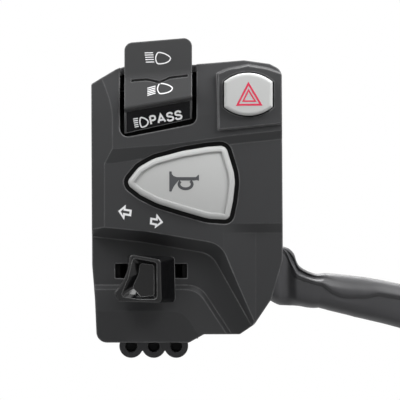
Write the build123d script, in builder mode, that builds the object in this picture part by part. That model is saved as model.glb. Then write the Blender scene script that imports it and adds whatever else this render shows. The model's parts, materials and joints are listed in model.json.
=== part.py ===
"""Left-hand handlebar switch cluster: dimmer rocker, hazard, horn and turn signal in a clamp housing.

The handlebar runs along X through the origin, +Z is up, and the rider looks along +Y.
A depth is measured from the bar's axis towards the rider, so it is minus Y.
"""
from build123d import *
from math import radians, tan
import os

os.makedirs("parts", exist_ok=True)

# Housing, in millimetres
bar_diameter = 22.2
bar_fit = 0.05
case_width = 57.6
case_height = 84.9
wall = 2.2
liner = 2.0
upper_depth = 27.6
field_depth = 26.4
recess_depth = 20.5
block_depth = 22.8
crest_depth = 21.6
boss_depth = 28.8
boss_lean = 1.4
lean_depth = 23.6
facet_depth = 24.4
valley_depth = 1.5
sliver = 0.02
corner_r = 3.2
crease_r = 0.8
sweep_r = 5.0
ledge_bend_r = 24.0
ledge_corner_r = 7.0
ridge_corner_r = 7.0
rear_depth = 12.0
rear_upper_depth = 9.0
hump_r = 15.4
rear_edge_r = 1.6
overrun = 6.0
far = 90.0

# Case screws and their posts
post_r = 3.2
post_length = 12.0
thread_r = 1.7
screw_r = 1.65
screw_head_r = 3.4
screw_head = 2.2
head_clear = 0.4
seat_floor = 4.0
seat_wall = 1.0
small_r = 1.1
small_head_r = 2.0
small_head = 1.1
small_post_r = 2.0
drive_share = 0.55

# Dimmer rocker
rocker_width = 20.3
rocker_gap = 1.35
opening_r = 2.5
opening_drop = 1.4
slot_depth = 17.0
tab_thickness = 2.4
ridge_rise = 2.2
groove_dip = 1.2
pass_dip = 0.4
pass_sill = 1.0
pass_plate = 1.1
pass_rim = 0.2
pass_cheek = 0.6
cheek = 1.2
groove_r = 6.0
ridge_r = 0.8
crease_width = 0.7
crease_sink = 0.45
ridge_undercut = 2.4
hub_r = 2.5
ear = 1.7
ear_gap = 0.35
ear_r = 2.4
pin_r = 1.0
pin_clear = 0.05
dimmer_plate = 1.4
contact_reach = 3.9
contact = 0.7
plunger_r = 1.0
plunger_length = 4.6
blade_width = 3.0
blade = 0.8
blade_length = 6.0
rivet_r = 1.1
rivet = 0.3

# Hazard button
hazard_width = 14.55
hazard_side = 7.6
hazard_height = 12.8
hazard_gap = 0.4
hazard_rise = 2.4
hazard_edge_r = 1.0
hazard_travel = 2.4
slider_width = 8.4
slider_height = 6.8
housing_back = 12.4
housing_wall = 1.6
hazard_spring_r = 1.8
spring_wire = 0.6
hazard_back = 1.4

# Horn button
horn_width = 32.3
horn_height = 21.9
horn_gap = 1.3
horn_rise = 2.2
horn_edge_r = 1.2
horn_crown_r = 90.0
horn_contact_reach = 8.5
horn_contact_width = 4.0
horn_contact_height = 6.4
horn_rim = 1.7
horn_dish = 0.5
horn_lip = 1.4
horn_lip_reach = 2.3
horn_lip_gap = 0.4
horn_travel = 2.2
horn_plate = 1.4
base_gap = 0.8
post_gap = 0.4
guide_r = 3.0
guide_clear = 0.15
guide_wall = 1.2
horn_spring_wall = 0.9

# Turn knob and its unit
slot_length = 21.6
slot_height = 4.3
turn_pivot = 2.0
cancel_travel = 1.2
knob_face = 33.2
knob_lift = 3.2
knob_width = 19.6
knob_height = 14.9
stem_width = 9.0
stem_height = 3.4
stem_clear = 0.15
stem_back = 9.6
carrier_width = 11.6
carrier_height = 7.7
carrier_gap = 0.35
socket_floor = 7.5
barrel_r = 2.6
turn_plate = 1.4
turn_frame_width = 21.5
turn_side_gap = 1.05
barrel_over = 1.5
end_play = 0.1
knob_corner_r = 1.1
knob_edge_r = 0.5
dish_corner_r = 0.9
cancel_spring_r = 1.6
turn_contact_depth = 12.0
turn_contact_length = 6.0
ball_r = 1.2
ball_depth = 5.9
ball_bore = 3.0
spring_clear = 0.15

# Harness, boot and lead grommet
harness_y = 5.5
neck_r = 3.9
neck_clear = 0.15
collar = 1.6
collar_height = 4.6
collar_thickness = 4.1
core_r = 3.0
core_inset = 10.7
bore_reach = 2.0
lead_r = 0.75
lead_bend_r = 1.2
lead_pitch = 1.6
lead_lift = 10.5
strap_inset = 8.0
strap_tab = 4.6
strap = 0.9
strap_width = 5.0
sheath_width = 12.0
sheath_thickness = 8.0
wire_r = 0.85
wire_pitch = 2.6
wire_length = 24.0
terminal_root = 2.0
terminal_width = 1.6
terminal_length = 6.0
connector_x = 21.0
connector_y = 11.5
connector_z = 27.0
connector_r = 1.0
latch = 1.6
latch_width = 8.0
latch_length = 12.0
cavity = 2.4
cavity_depth = 9.0
cavity_pitch = 4.6
barrel_tube_r = 3.6
barrel_hole_r = 1.8
barrel_length = 11.0
barrel_hole = 7.0
barrel_pitch = 6.8
grommet_web = 3.0
bottom_notch = 2.6
notch_depth = 13.0

# Sections of the boot from the case to the sheath: place along X, height, half height, half depth
boot_shares = [
    (0.3940, -0.7150, 0.1150, 0.0790), (0.4600, -0.7150, 0.1440, 0.0868), (0.5210, -0.7160, 0.1545, 0.0868),
    (0.5600, -0.7290, 0.1430, 0.0833), (0.5850, -0.7650, 0.1080, 0.0799), (0.6300, -0.7860, 0.0940, 0.0747),
    (0.6860, -0.7930, 0.0890, 0.0712),
]
# The sheath's route, as shares of the case's width
route_shares = [
    (0.7100, 0.0955, -0.7900), (0.9427, 0.0955, -0.8281), (1.2465, 0.0868, -0.9010),
    (1.5503, 0.0781, -1.0694), (1.8003, 0.0694, -1.3229), (1.9705, 0.0590, -1.6458),
    (2.0573, 0.0451, -2.0538), (2.0764, 0.0312, -2.6094), (2.0521, 0.0347, -3.3038),
    (2.0521, 0.0347, -3.9635),
]
route_fit = 0.45

# Worked out from the sizes above
bore_r = bar_diameter / 2 + bar_fit
liner_r = bore_r + liner
field_inner = field_depth - wall
floor_inner = recess_depth - wall

# Places on the front, as shares of the case's width and height
outline_shares = [
    (-0.500, 0.198), (-0.370, 0.251), (-0.328, 0.2615), (0.047, 0.2686), (0.297, 0.2827),
    (0.430, 0.2700), (0.494, 0.2480), (0.500, -0.424), (0.440, -0.563), (0.350, -0.654),
    (0.276, -0.688), (0.0885, -0.688), (0.0104, -0.7173), (-0.471, -0.7173), (-0.481, -0.565),
    (-0.496, -0.4417),
]
outline_radii = [
    crease_r, crease_r, crease_r, sweep_r, sweep_r,
    crease_r, corner_r, corner_r, corner_r, corner_r,
    crease_r, crease_r, crease_r, corner_r, corner_r,
    corner_r,
]
rear_outline_shares = [
    (-0.496, 0.194), (-0.368, 0.246), (-0.328, 0.2565), (0.047, 0.2636), (0.297, 0.2777),
    (0.428, 0.2650), (0.490, 0.2440), (0.495, -0.2700), (0.390, -0.3400), (0.390, -0.5400),
    (0.325, -0.640), (0.268, -0.677), (-0.464, -0.677), (-0.476, -0.560), (-0.491, -0.4400),
]
rear_outline_radii = [
    crease_r, crease_r, crease_r, sweep_r, sweep_r,
    crease_r, corner_r, corner_r, corner_r, corner_r,
    corner_r, crease_r, corner_r, corner_r, corner_r,
]
ledge_top_shares = [(-0.600, -0.297), (-0.203, -0.324), (0.177, -0.3675), (0.422, -0.740)]
ledge_foot_shares = [(-0.600, -0.333), (-0.224, -0.3616), (0.127, -0.4028), (0.4167, -0.750)]
ridge_foot_shares = [(-0.600, -0.5136), (0.066, -0.5136), (0.2934, -0.750)]
ridge_crest_shares = [(-0.600, -0.529), (0.054, -0.529), (0.2674, -0.750)]
block_top_shares = [(-0.600, -0.6054), (-0.021, -0.6054), (0.1215, -0.750)]
ledge_radii = [0, ledge_bend_r, ledge_corner_r, 0]
ridge_radii = [0, ridge_corner_r, 0]
field_top_shares = [
    (-0.600, -0.0390), (-0.382, -0.0306), (-0.104, -0.0165), (0.104, 0.0035), (0.208, 0.0141),
    (0.600, 0.0424),
]
field_foot_shares = [
    (-0.600, -0.0900), (-0.382, -0.0825), (-0.104, -0.0518), (0.104, -0.0259), (0.208, -0.0165),
    (0.600, 0.0106),
]
facet_crease_share = -0.389
valley_left_share = 0.191
valley_share = 0.359
valley_right_share = 0.600
valley_top_share = -0.2945
valley_foot_share = -0.3286
lean_start_share = 0.090
lean_middle_shares = (0.190, 0.28)
boss_foot_shares = [
    (0.1320, 0.0200), (0.1320, 0.2420), (0.2083, 0.2640), (0.3194, 0.2780), (0.4300, 0.2650),
    (0.5300, 0.2350), (0.5300, 0.0480),
]
boss_top_shares = [
    (0.1660, 0.0370), (0.1660, 0.2340), (0.2190, 0.2480), (0.3194, 0.2600), (0.4200, 0.2490),
    (0.5300, 0.2240), (0.5300, 0.0620),
]
cavity_low_share = -0.3140
screw_shares = [(0.1110, 0.2060), (-0.3960, -0.2060), (0.2517, -0.5950)]

rocker_share = -0.1502
rocker_pivot_share = 0.1767
rocker_slant_shares = {"top": 0.0200, "groove": 0.0165, "ridge": 0.0424, "foot": 0.0530}
tab_share = 0.3428
groove_share = 0.219
ridge_share = 0.1095
foot_share = 0.0224
# Crease in the rocker's groove: place along the width, and drop below the groove
crease_shares = [
    (-0.400, 0.0300), (-0.180, 0.0270), (-0.105, 0.0430), (0.017, 0.0840), (0.070, 0.0640),
    (0.170, 0.0250), (0.440, 0.0120),
]
hazard_shares = (0.3194, 0.1614)
horn_shares = (-0.0139, -0.1472)
turn_share = -0.4635
harness_share = -0.4850
grommet_shares = (-0.1750, -0.7315)

# The horn button's outline about its symbol, as shares of its width and height
horn_outline_shares = [
    (-0.5310, 0.0050), (-0.4270, 0.1960), (-0.2850, 0.3150), (-0.0190, 0.4200), (0.2200, 0.4795),
    (0.3850, 0.4950), (0.4610, 0.1280), (0.4706, -0.0140), (0.4520, -0.2650), (0.4150, -0.5230),
    (0.2200, -0.5070), (-0.0190, -0.4060), (-0.2510, -0.3010), (-0.4090, -0.1830), (-0.5080, -0.0690),
]
horn_outline_radii = [
    1.6, 6.0, 10.0, 20.0, 14.0,
    2.2, 8.0, 8.0, 12.0, 1.6,
    14.0, 24.0, 16.0, 6.0, 1.6,
]
# The turn knob's corners about its slot, as shares of its width and height
knob_back_shares = [
    (-0.3780, 0.3360), (0.4300, 0.3190), (0.4390, -0.6280), (-0.4800, -0.6210), (-0.5150, -0.5000),
]
knob_back_bow_shares = (-0.4000, -0.1000)
knob_front_shares = [
    (-0.3265, 0.3520), (0.1430, 0.2320), (0.1580, -0.6340), (-0.5150, -0.6070), (-0.5660, -0.4190),
]
knob_front_bow_shares = (-0.3900, -0.0900)
dish_mouth_shares = [
    (-0.2750, 0.2700), (0.0880, 0.1790), (0.0930, -0.5600), (-0.1990, -0.5600), (-0.4640, -0.5100),
    (-0.3450, -0.1280),
]
dish_floor_shares = [
    (-0.1700, 0.1600), (0.0500, 0.1300), (0.0500, -0.4900), (-0.1480, -0.5200), (-0.2800, -0.3190),
    (-0.1840, -0.0500),
]
dish_depth = 2.2


def front(depth):
    """Plane that faces the rider, at a depth in front of the bar's axis."""
    return Plane.XZ.offset(depth)


def spot(shares):
    """Place on the front, from its shares of the case's width and height."""
    return (shares[0] * case_width, shares[1] * case_height)


def spots(table):
    return [spot(shares) for shares in table]


def around(centre, table, width, height):
    """Points about a centre, from shares of a width and a height."""
    return [(centre[0] + x * width, centre[1] + z * height) for x, z in table]


def rounded(points, radii):
    """Closed outline whose corners are rounded."""
    with BuildSketch() as shape:
        with BuildLine():
            FilletPolyline(*points, radius=radii, close=True)
        make_face()
    return shape.sketch


def sharp(points):
    with BuildSketch() as shape:
        with BuildLine():
            Polyline(*points, close=True)
        make_face()
    return shape.sketch


def rod(depth, places, radius, length, mode=Mode.ADD):
    """Round rods along Y that start at a depth and run forward by a length."""
    with BuildSketch(front(depth)) as ends:
        with Locations(*places):
            Circle(radius)
    extrude(ends.sketch, amount=length, mode=mode)


def bar(depth, x_span, z_span, length, mode=Mode.ADD):
    """Square block that starts at a depth and runs forward by a length."""
    corners = [(x_span[0], z_span[0]), (x_span[1], z_span[0]), (x_span[1], z_span[1]), (x_span[0], z_span[1])]
    with BuildSketch(front(depth)) as end:
        add(sharp(corners))
    extrude(end.sketch, amount=length, mode=mode)


def between(low, high, low_points, high_points, mode=Mode.ADD, radii=0):
    """Ruled body between two outlines at two depths."""
    with BuildSketch(front(low)) as foot:
        add(rounded(low_points, radii))
    with BuildSketch(front(high)) as top:
        add(rounded(high_points, radii))
    loft(sections=[foot.sketch.face(), top.sketch.face()], ruled=True, mode=mode)


def screws(depth, places, radius, length, head_r, head):
    """Pan head screws along Y, heads towards the rear, with a cross recess."""
    rod(depth, places, radius, length)
    rod(depth - head, places, head_r, head)
    for x, z in places:
        reach = head_r * drive_share
        groove = reach / 4
        bar(depth - head, (x - reach, x + reach), (z - groove, z + groove), head / 2, Mode.SUBTRACT)
        bar(depth - head, (x - groove, x + groove), (z - reach, z + reach), head / 2, Mode.SUBTRACT)


def tube(depth, place, inner, outer, length):
    """Plain sleeve along Y, the room that a coil spring takes."""
    rod(depth, [place], outer, length)
    rod(depth, [place], inner, length, Mode.SUBTRACT)


def mix(first, second, share):
    return [(a[0] + (b[0] - a[0]) * share, a[1] + (b[1] - a[1]) * share) for a, b in zip(first, second)]


def ledge(depth):
    """The main face's lower edge, which runs out as it comes forward."""
    share = (depth - recess_depth) / (field_depth - recess_depth)
    return mix(spots(ledge_foot_shares), spots(ledge_top_shares), share)


case_points = spots(outline_shares)
case_left = case_points[0][0]
case_right = case_points[7][0]
case_top = case_points[4][1]
case_floor = case_points[13][1]
below = -case_height

# Hazard boss, a raised pad that the front case grows out of
with BuildPart() as hazard_boss:
    between(floor_inner, boss_depth, spots(boss_foot_shares), spots(boss_top_shares))
    boss_low = spot(boss_foot_shares[0])[1]
    with BuildSketch(Plane.YZ.offset(-case_width)):
        add(sharp([
            (-boss_depth, boss_low), (-(boss_depth - boss_lean), case_top),
            (-(boss_depth - boss_lean), case_top + far), (-far, case_top + far), (-far, boss_low),
        ]))
    extrude(amount=2 * case_width, mode=Mode.SUBTRACT)
    with BuildSketch(front(0)):
        add(rounded(case_points, outline_radii))
    extrude(amount=far, mode=Mode.INTERSECT)

rocker_x, rocker_z = spot((rocker_share, rocker_pivot_share))
rocker_left = rocker_x - rocker_width / 2
rocker_right = rocker_x + rocker_width / 2
rocker_foot = foot_share * case_height
foot_slant = rocker_slant_shares["foot"] * case_height
hazard_at = spot(hazard_shares)
horn_at = spot(horn_shares)
turn_side = wall + turn_side_gap + small_head_r + small_post_r
turn_at = (case_left + turn_side + turn_frame_width / 2, turn_share * case_height)
horn_points = around(horn_at, horn_outline_shares, horn_width, horn_height)
case_screw_places = spots(screw_shares)
harness_z = harness_share * case_height
rear_points = spots(rear_outline_shares)
rear_wall = rear_points[8][0]
strap_place = rear_wall - strap_inset
core_end = rear_wall - core_inset
boot_bore = rear_wall + bore_reach


def horn_shape(grow):
    """The horn button's outline, grown on all sides."""
    with BuildSketch() as shape:
        with BuildLine():
            FilletPolyline(*horn_points, radius=horn_outline_radii, close=True)
        make_face()
        if grow:
            offset(amount=grow)
    return shape.sketch


def hazard_shape(grow):
    """Barrel outline with straight sides and arched ends."""
    half = hazard_width / 2 + grow
    side = hazard_side / 2
    crown = hazard_height / 2 + grow
    with BuildSketch() as shape:
        with BuildLine():
            ThreePointArc((-half, side), (0, crown), (half, side))
            Line((half, side), (half, -side))
            ThreePointArc((half, -side), (0, -crown), (-half, -side))
            Line((-half, -side), (-half, side))
        make_face()
    return Pos(*hazard_at) * shape.sketch


rocker_window = [
    (rocker_left - rocker_gap, rocker_foot - opening_drop),
    (rocker_right + rocker_gap, rocker_foot + foot_slant - opening_drop),
    (rocker_right + rocker_gap, case_top + overrun),
    (rocker_left - rocker_gap, case_top + overrun),
]

# Bosses for the small screws that hold the four switch units
dimmer_plate_back = liner_r + small_head + base_gap
dimmer_plate_front = dimmer_plate_back + dimmer_plate
rocker_pivot = dimmer_plate_front + contact_reach
dimmer_screw_places = [
    (rocker_left + small_head_r, rocker_foot - 2 * small_post_r),
    (rocker_right + rocker_gap + small_post_r + base_gap, rocker_foot + small_post_r),
]
horn_plate_back = liner_r + base_gap
horn_plate_front = horn_plate_back + horn_plate
horn_screw_places = [
    (horn_at[0] - horn_width / 2 + small_head_r, horn_at[1] - horn_height / 2 + base_gap),
    (horn_at[0] + horn_width / 2 + horn_lip_reach + small_post_r - base_gap, horn_at[1] + horn_height / 4),
]
hazard_housing_front = field_inner - hazard_travel - hazard_gap
hazard_screw_places = [
    (hazard_at[0] - hazard_width / 3, hazard_at[1] - hazard_height * 0.76),
    (hazard_at[0] + hazard_width / 3, hazard_at[1] - hazard_height * 0.76),
]
turn_plate_front = floor_inner - 3 * base_gap
turn_screw_places = [
    (turn_at[0] - turn_frame_width / 2 - small_head_r, turn_at[1] + slot_height),
    (turn_at[0] + turn_frame_width / 2 + small_head_r, turn_at[1] + slot_height),
]
unit_bosses = [
    (dimmer_plate_front, field_inner, dimmer_screw_places),
    (horn_plate_front, field_inner, horn_screw_places),
    (hazard_housing_front, field_inner, hazard_screw_places),
    (turn_plate_front, floor_inner, turn_screw_places),
]

# Front case: moulded shell that carries every control
with BuildPart() as front_case:
    with BuildSketch(front(0)):
        add(rounded(case_points, outline_radii))
    extrude(amount=upper_depth)
    # The top leans back in a gentle arc
    with BuildSketch(Plane.YZ.offset(-case_width)):
        with BuildLine():
            lean = ThreePointArc(
                (-upper_depth, lean_start_share * case_height),
                (-(upper_depth - lean_middle_shares[1] * (upper_depth - lean_depth)),
                 lean_middle_shares[0] * case_height),
                (-lean_depth, case_top + wall),
            )
            Polyline(lean @ 1, (-far, case_top + wall), (-far, lean_start_share * case_height), lean @ 0)
        make_face()
    extrude(amount=2 * case_width, mode=Mode.SUBTRACT)
    # The face falls away towards the left wall
    crease_x = facet_crease_share * case_width
    facet_slope = (upper_depth - facet_depth) / (crease_x - case_left)
    facet_end = case_left - overrun
    with BuildSketch(Plane.XY.offset(-case_height)):
        add(sharp([
            (crease_x, -upper_depth), (facet_end, -(upper_depth - facet_slope * (crease_x - facet_end))),
            (facet_end, -far), (crease_x, -far),
        ]))
    extrude(amount=2 * case_height, mode=Mode.SUBTRACT)
    # Field around the horn button, lower than the rocker's surround
    between(
        field_depth, upper_depth,
        spots(field_foot_shares) + [(case_width, below), (-case_width, below)],
        spots(field_top_shares) + [(case_width, below), (-case_width, below)],
        Mode.SUBTRACT,
    )
    # Shallow valley down the right side, with a lens-shaped upper end
    valley_x = [share * case_width for share in (valley_left_share, valley_share, valley_right_share)]
    for top, foot, sink in (
        (valley_top_share, valley_foot_share, sliver),
        (valley_foot_share, -1, valley_depth),
    ):
        for level, dip in ((top, sink), (foot, valley_depth)):
            with BuildSketch(Plane.XY.offset(level * case_height)):
                add(sharp([
                    (valley_x[0], -field_depth), (valley_x[1], -(field_depth - dip)),
                    (valley_x[2], -field_depth), (valley_x[2], -far), (valley_x[0], -far),
                ]))
        loft(ruled=True, mode=Mode.SUBTRACT)
    # Lower left: the main face ends in a swept bevel, a trough and the bottom block
    ridge_levels = (
        (recess_depth, ridge_foot_shares), (crest_depth, ridge_crest_shares), (block_depth, block_top_shares),
    )
    for (low, low_shares), (high, high_shares) in zip(ridge_levels, ridge_levels[1:]):
        between(
            low, high,
            ledge(low) + spots(low_shares)[::-1],
            ledge(high) + spots(high_shares)[::-1],
            Mode.SUBTRACT,
            ledge_radii + ridge_radii[::-1],
        )
    between(
        block_depth, upper_depth + 1,
        ledge(block_depth) + [(case_points[9][0], below), (-case_width, below)],
        ledge(upper_depth + 1) + [(case_points[9][0], below), (-case_width, below)],
        Mode.SUBTRACT,
        ledge_radii + [0, 0],
    )
    add(hazard_boss.part)
    # Hollow inside, with the bar's half-round saddle across it
    with BuildSketch(front(0)):
        add(rounded(case_points, outline_radii))
        offset(amount=-wall)
    extrude(amount=floor_inner, mode=Mode.SUBTRACT)
    bar(floor_inner, (crease_x, case_right - wall),
        (cavity_low_share * case_height, rocker_z + rocker_width / 4),
        field_inner - floor_inner, Mode.SUBTRACT)
    with BuildSketch(Plane.YZ.offset(case_left + wall / 2)):
        Circle(liner_r)
    extrude(amount=case_right - case_left - wall)
    # Posts for the case screws and bosses for the units
    rod(0, case_screw_places, post_r, floor_inner + wall / 2)
    for back, face, places in unit_bosses:
        rod(back, places, small_post_r, face - back + wall / 2)
    split(bisect_by=front(0), keep=Keep.TOP)
    with BuildSketch(Plane.YZ.offset(-case_width)):
        Circle(bore_r)
    extrude(amount=2 * case_width, mode=Mode.SUBTRACT)
    rod(0, case_screw_places, thread_r, post_length, Mode.SUBTRACT)
    for back, face, places in unit_bosses:
        rod(back, places, small_r, face - back, Mode.SUBTRACT)
    # Windows for the controls
    with BuildSketch(front(slot_depth)):
        add(rounded(rocker_window, opening_r))
    extrude(amount=far, mode=Mode.SUBTRACT)
    with BuildSketch(front(floor_inner)):
        add(hazard_shape(hazard_gap))
    extrude(amount=far, mode=Mode.SUBTRACT)
    with BuildSketch(front(floor_inner)):
        add(horn_shape(horn_gap))
    extrude(amount=far, mode=Mode.SUBTRACT)
    bar(floor_inner - wall, (turn_at[0] - slot_length / 2, turn_at[0] + slot_length / 2),
        (turn_at[1] - slot_height / 2, turn_at[1] + slot_height / 2), far, Mode.SUBTRACT)
    # Step under the bottom edge, with a slot for the lead grommet
    grommet_x, grommet_z = spot(grommet_shares)
    grommet_half = barrel_pitch + barrel_tube_r + base_gap
    bar(0, (grommet_x - grommet_half - wall, grommet_x + grommet_half + wall),
        (case_floor + wall / 2, case_floor + bottom_notch + wall), notch_depth + wall)
    bar(0, (grommet_x - grommet_half, grommet_x + grommet_half),
        (below, case_floor + bottom_notch), notch_depth, Mode.SUBTRACT)
    bar(barrel_length / 3, (grommet_x - barrel_pitch, grommet_x + barrel_pitch),
        (below, case_floor + bottom_notch + 2 * wall), barrel_length / 3, Mode.SUBTRACT)
front_case.part.label = "front_case"
export_step(front_case.part, "parts/front_case.step")


# Rear case: the clamp's other half, with the screw seats and the harness notch
strap_screw_at = (strap_place, harness_z + core_r + strap + strap_tab / 2)
rear_post_r = screw_head_r + head_clear + seat_wall
with BuildPart() as hump:
    with BuildSketch(Plane.YZ.offset(rear_points[0][0])):
        Circle(hump_r)
    extrude(amount=rear_points[7][0] - rear_points[0][0])
    fillet(hump.edges().filter_by(GeomType.CIRCLE), radius=rear_edge_r)
    split(bisect_by=front(0), keep=Keep.BOTTOM)

with BuildPart() as rear_case:
    with BuildSketch(front(0)):
        add(rounded(rear_points, rear_outline_radii))
    extrude(amount=-rear_upper_depth)
    fillet(rear_case.faces().sort_by(Axis.Y)[-1].edges(), radius=rear_edge_r)
    with BuildSketch(front(0)):
        add(rounded(rear_points, rear_outline_radii))
        with Locations((0, far - bore_r - base_gap)):
            Rectangle(4 * far, 2 * far, mode=Mode.SUBTRACT)
    extrude(amount=-rear_depth)
    fillet(rear_case.faces().sort_by(Axis.Y)[-1].edges(), radius=rear_edge_r)
    add(hump.part)
    # Hollow below the bar, and a smaller one above it
    with BuildSketch(front(0)):
        add(rounded(rear_points, rear_outline_radii))
        offset(amount=-wall)
        with Locations((0, far - hump_r)):
            Rectangle(4 * far, 2 * far, mode=Mode.SUBTRACT)
    extrude(amount=-(rear_depth - wall), mode=Mode.SUBTRACT)
    for place in case_screw_places:
        post_back = (rear_upper_depth if place[1] > 0 else rear_depth) - wall / 2
        rod(-post_back, [place], rear_post_r, post_back)
    with BuildSketch(Plane.YZ.offset(-case_width)):
        Circle(bore_r)
    extrude(amount=2 * case_width, mode=Mode.SUBTRACT)
    rod(-rear_depth, case_screw_places, screw_r + head_clear / 2, rear_depth, Mode.SUBTRACT)
    rod(-far, case_screw_places, screw_head_r + head_clear, far - seat_floor, Mode.SUBTRACT)
    # Notch that holds the boot's neck against the front case
    with BuildSketch(Plane.YZ.offset(rear_points[8][0] - 2 * wall)):
        with Locations((harness_y, harness_z)):
            Circle(neck_r + neck_clear)
        with Locations((harness_y / 2, harness_z)):
            Rectangle(harness_y, 2 * (neck_r + neck_clear))
    extrude(amount=4 * wall, mode=Mode.SUBTRACT)
    rod(-(rear_depth - pin_clear - strap / 2), [strap_screw_at], small_r,
        wall - strap / 2, Mode.SUBTRACT)
    split(bisect_by=front(0), keep=Keep.BOTTOM)
rear_case.part.label = "rear_case"
export_step(rear_case.part, "parts/rear_case.step")

# Case screws, from behind
with BuildPart() as case_screws:
    screws(-seat_floor, case_screw_places, screw_r, seat_floor + post_length - head_clear,
           screw_head_r, screw_head)
case_screws.part.label = "case_screws"
export_step(case_screws.part, "parts/case_screws.step")

# Dimmer rocker: one lever whose face has three marks, ruled between its left and right profiles
slant = {name: share * case_height for name, share in rocker_slant_shares.items()}
tab_top = tab_share * case_height
groove_z = groove_share * case_height
ridge_z = ridge_share * case_height
shell_back = rocker_pivot + ear_r + 2 * ear_gap
face_top = upper_depth - pass_dip / 2
groove_depth = upper_depth - groove_dip
ridge_depth = upper_depth + ridge_rise
pass_depth = upper_depth - pass_dip


def rocker_profile(rise):
    """Side view of the rocker's shell as depth and height; rise is the share of the slant."""
    top = tab_top + rise * slant["top"]
    groove = groove_z + rise * slant["groove"]
    ridge = ridge_z + rise * slant["ridge"]
    foot = rocker_foot + rise * slant["foot"]
    return [
        (face_top - tab_thickness, top - pass_sill), (face_top, top), (groove_depth, groove),
        (ridge_depth, ridge), (ridge_depth - ridge_undercut, ridge - pass_sill),
        (pass_depth - pass_sill, foot), (pass_depth - pass_sill - tab_thickness, foot),
        (shell_back + pass_sill / 2, ridge - pass_sill), (shell_back, groove),
    ]


def pass_profile(rise, gap):
    """Side view of the passing plate in its pocket."""
    ridge = ridge_z + rise * slant["ridge"] - pass_sill
    foot = rocker_foot + rise * slant["foot"] + pass_rim
    face = ridge_depth - ridge_undercut
    return [
        (face + gap, ridge), (pass_depth - pass_sill + gap, foot),
        (pass_depth - pass_sill - pass_plate, foot), (face - pass_plate, ridge),
    ]


def side_face(x, profile, radii=0):
    points = [(-depth, z) for depth, z in profile]
    with BuildSketch(Plane.YZ.offset(x)) as side:
        add(rounded(points, radii) if radii else sharp(points))
    return side.sketch.face()


def rise_at(x):
    return (x - rocker_left) / rocker_width


rocker_radii = [0, 0, groove_r, ridge_r, 0, 0, 0, 0, 0]
crease = [
    (rocker_x + place * rocker_width, groove_z + (place + 1 / 2) * slant["groove"] - drop * rocker_width)
    for place, drop in crease_shares
]
pass_left = rocker_left + pass_cheek
pass_right = rocker_right - pass_cheek
plunger_z = rocker_foot + foot_slant + plunger_r
plunger_back = dimmer_plate_front - pass_sill
with BuildPart() as dimmer_rocker:
    loft(sections=[side_face(rocker_left, rocker_profile(0), rocker_radii),
                   side_face(rocker_right, rocker_profile(1), rocker_radii)], ruled=True)
    # Rounded tab corners
    with BuildSketch(front(0)):
        add(rounded([
            (rocker_left, rocker_foot - overrun), (rocker_right, rocker_foot - overrun),
            (rocker_right, tab_top + slant["top"]), (rocker_left, tab_top),
        ], [0, 0, opening_r, opening_r]))
    extrude(amount=far, mode=Mode.INTERSECT)
    loft(sections=[side_face(pass_left, pass_profile(rise_at(pass_left), overrun)),
                   side_face(pass_right, pass_profile(rise_at(pass_right), overrun))],
         ruled=True, mode=Mode.SUBTRACT)
    # Crease along the groove, which dips to a V in the middle
    with BuildSketch(front(groove_depth - crease_sink)):
        add(sharp(crease + [(x, z - crease_width) for x, z in crease[::-1]]))
    extrude(amount=overrun, mode=Mode.SUBTRACT)
    # Hub on the pivot pin, its web and the detent boss
    hub_left = rocker_left + ear + 2 * ear_gap
    hub_right = rocker_right - ear - 2 * ear_gap
    with BuildSketch(Plane.YZ.offset(hub_left)):
        with Locations((-rocker_pivot, rocker_z)):
            Circle(hub_r)
        with Locations((-(rocker_pivot + shell_back + pass_sill) / 2, rocker_z)):
            Rectangle(shell_back + pass_sill - rocker_pivot, 2 * hub_r)
        with Locations((hub_r / 2 - rocker_pivot, rocker_z)):
            Rectangle(hub_r, blade_width - ear_gap)
    extrude(amount=hub_right - hub_left)
    rod(dimmer_plate_front + 2 * pass_sill, [(rocker_x, plunger_z)], plunger_r + cheek,
        shell_back + pass_sill - dimmer_plate_front - 2 * pass_sill)
    with BuildSketch(Plane.YZ.offset(-case_width)):
        with Locations((-rocker_pivot, rocker_z)):
            Circle(pin_r + pin_clear)
    extrude(amount=2 * case_width, mode=Mode.SUBTRACT)
    rod(plunger_back, [(rocker_x, plunger_z)], plunger_r + spring_clear,
        shell_back + pass_sill - plunger_back, Mode.SUBTRACT)
dimmer_rocker.part.label = "dimmer_rocker"
export_step(dimmer_rocker.part, "parts/dimmer_rocker.step")

# Passing plate, the darker inlay at the rocker's foot
with BuildPart() as passing_plate:
    loft(sections=[side_face(pass_left, pass_profile(rise_at(pass_left), 0)),
                   side_face(pass_right, pass_profile(rise_at(pass_right), 0))], ruled=True)
passing_plate.part.label = "passing_plate"
export_step(passing_plate.part, "parts/passing_plate.step")


def ears(profile_x, thickness, plate_front, pivot_depth, pivot_z, radius):
    """Ear along X that stands on a plate and ends round about a pivot."""
    with BuildSketch(Plane.YZ.offset(profile_x)) as side:
        with Locations((-pivot_depth, pivot_z)):
            Circle(radius)
        with Locations((-(pivot_depth + plate_front) / 2, pivot_z)):
            Rectangle(pivot_depth - plate_front, 2 * radius)
    extrude(side.sketch, amount=thickness)


def pads(depth, places, radius, links, thickness):
    """Screw pads of a base plate: discs joined to it by straight links."""
    rod(depth, places, radius, thickness)
    for x_span, z_span in links:
        bar(depth, x_span, z_span, thickness)


def blades(places, back, head_front, upright):
    """Riveted terminals: a flat blade along Y with a round head; upright blades are wide along Z."""
    wide = (blade, blade_width) if upright else (blade_width, blade)
    for x, z in places:
        bar(back, (x - wide[0] / 2, x + wide[0] / 2), (z - wide[1] / 2, z + wide[1] / 2),
            head_front - rivet - back)
        rod(head_front - rivet, [(x, z)], rivet_r, rivet)


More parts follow.
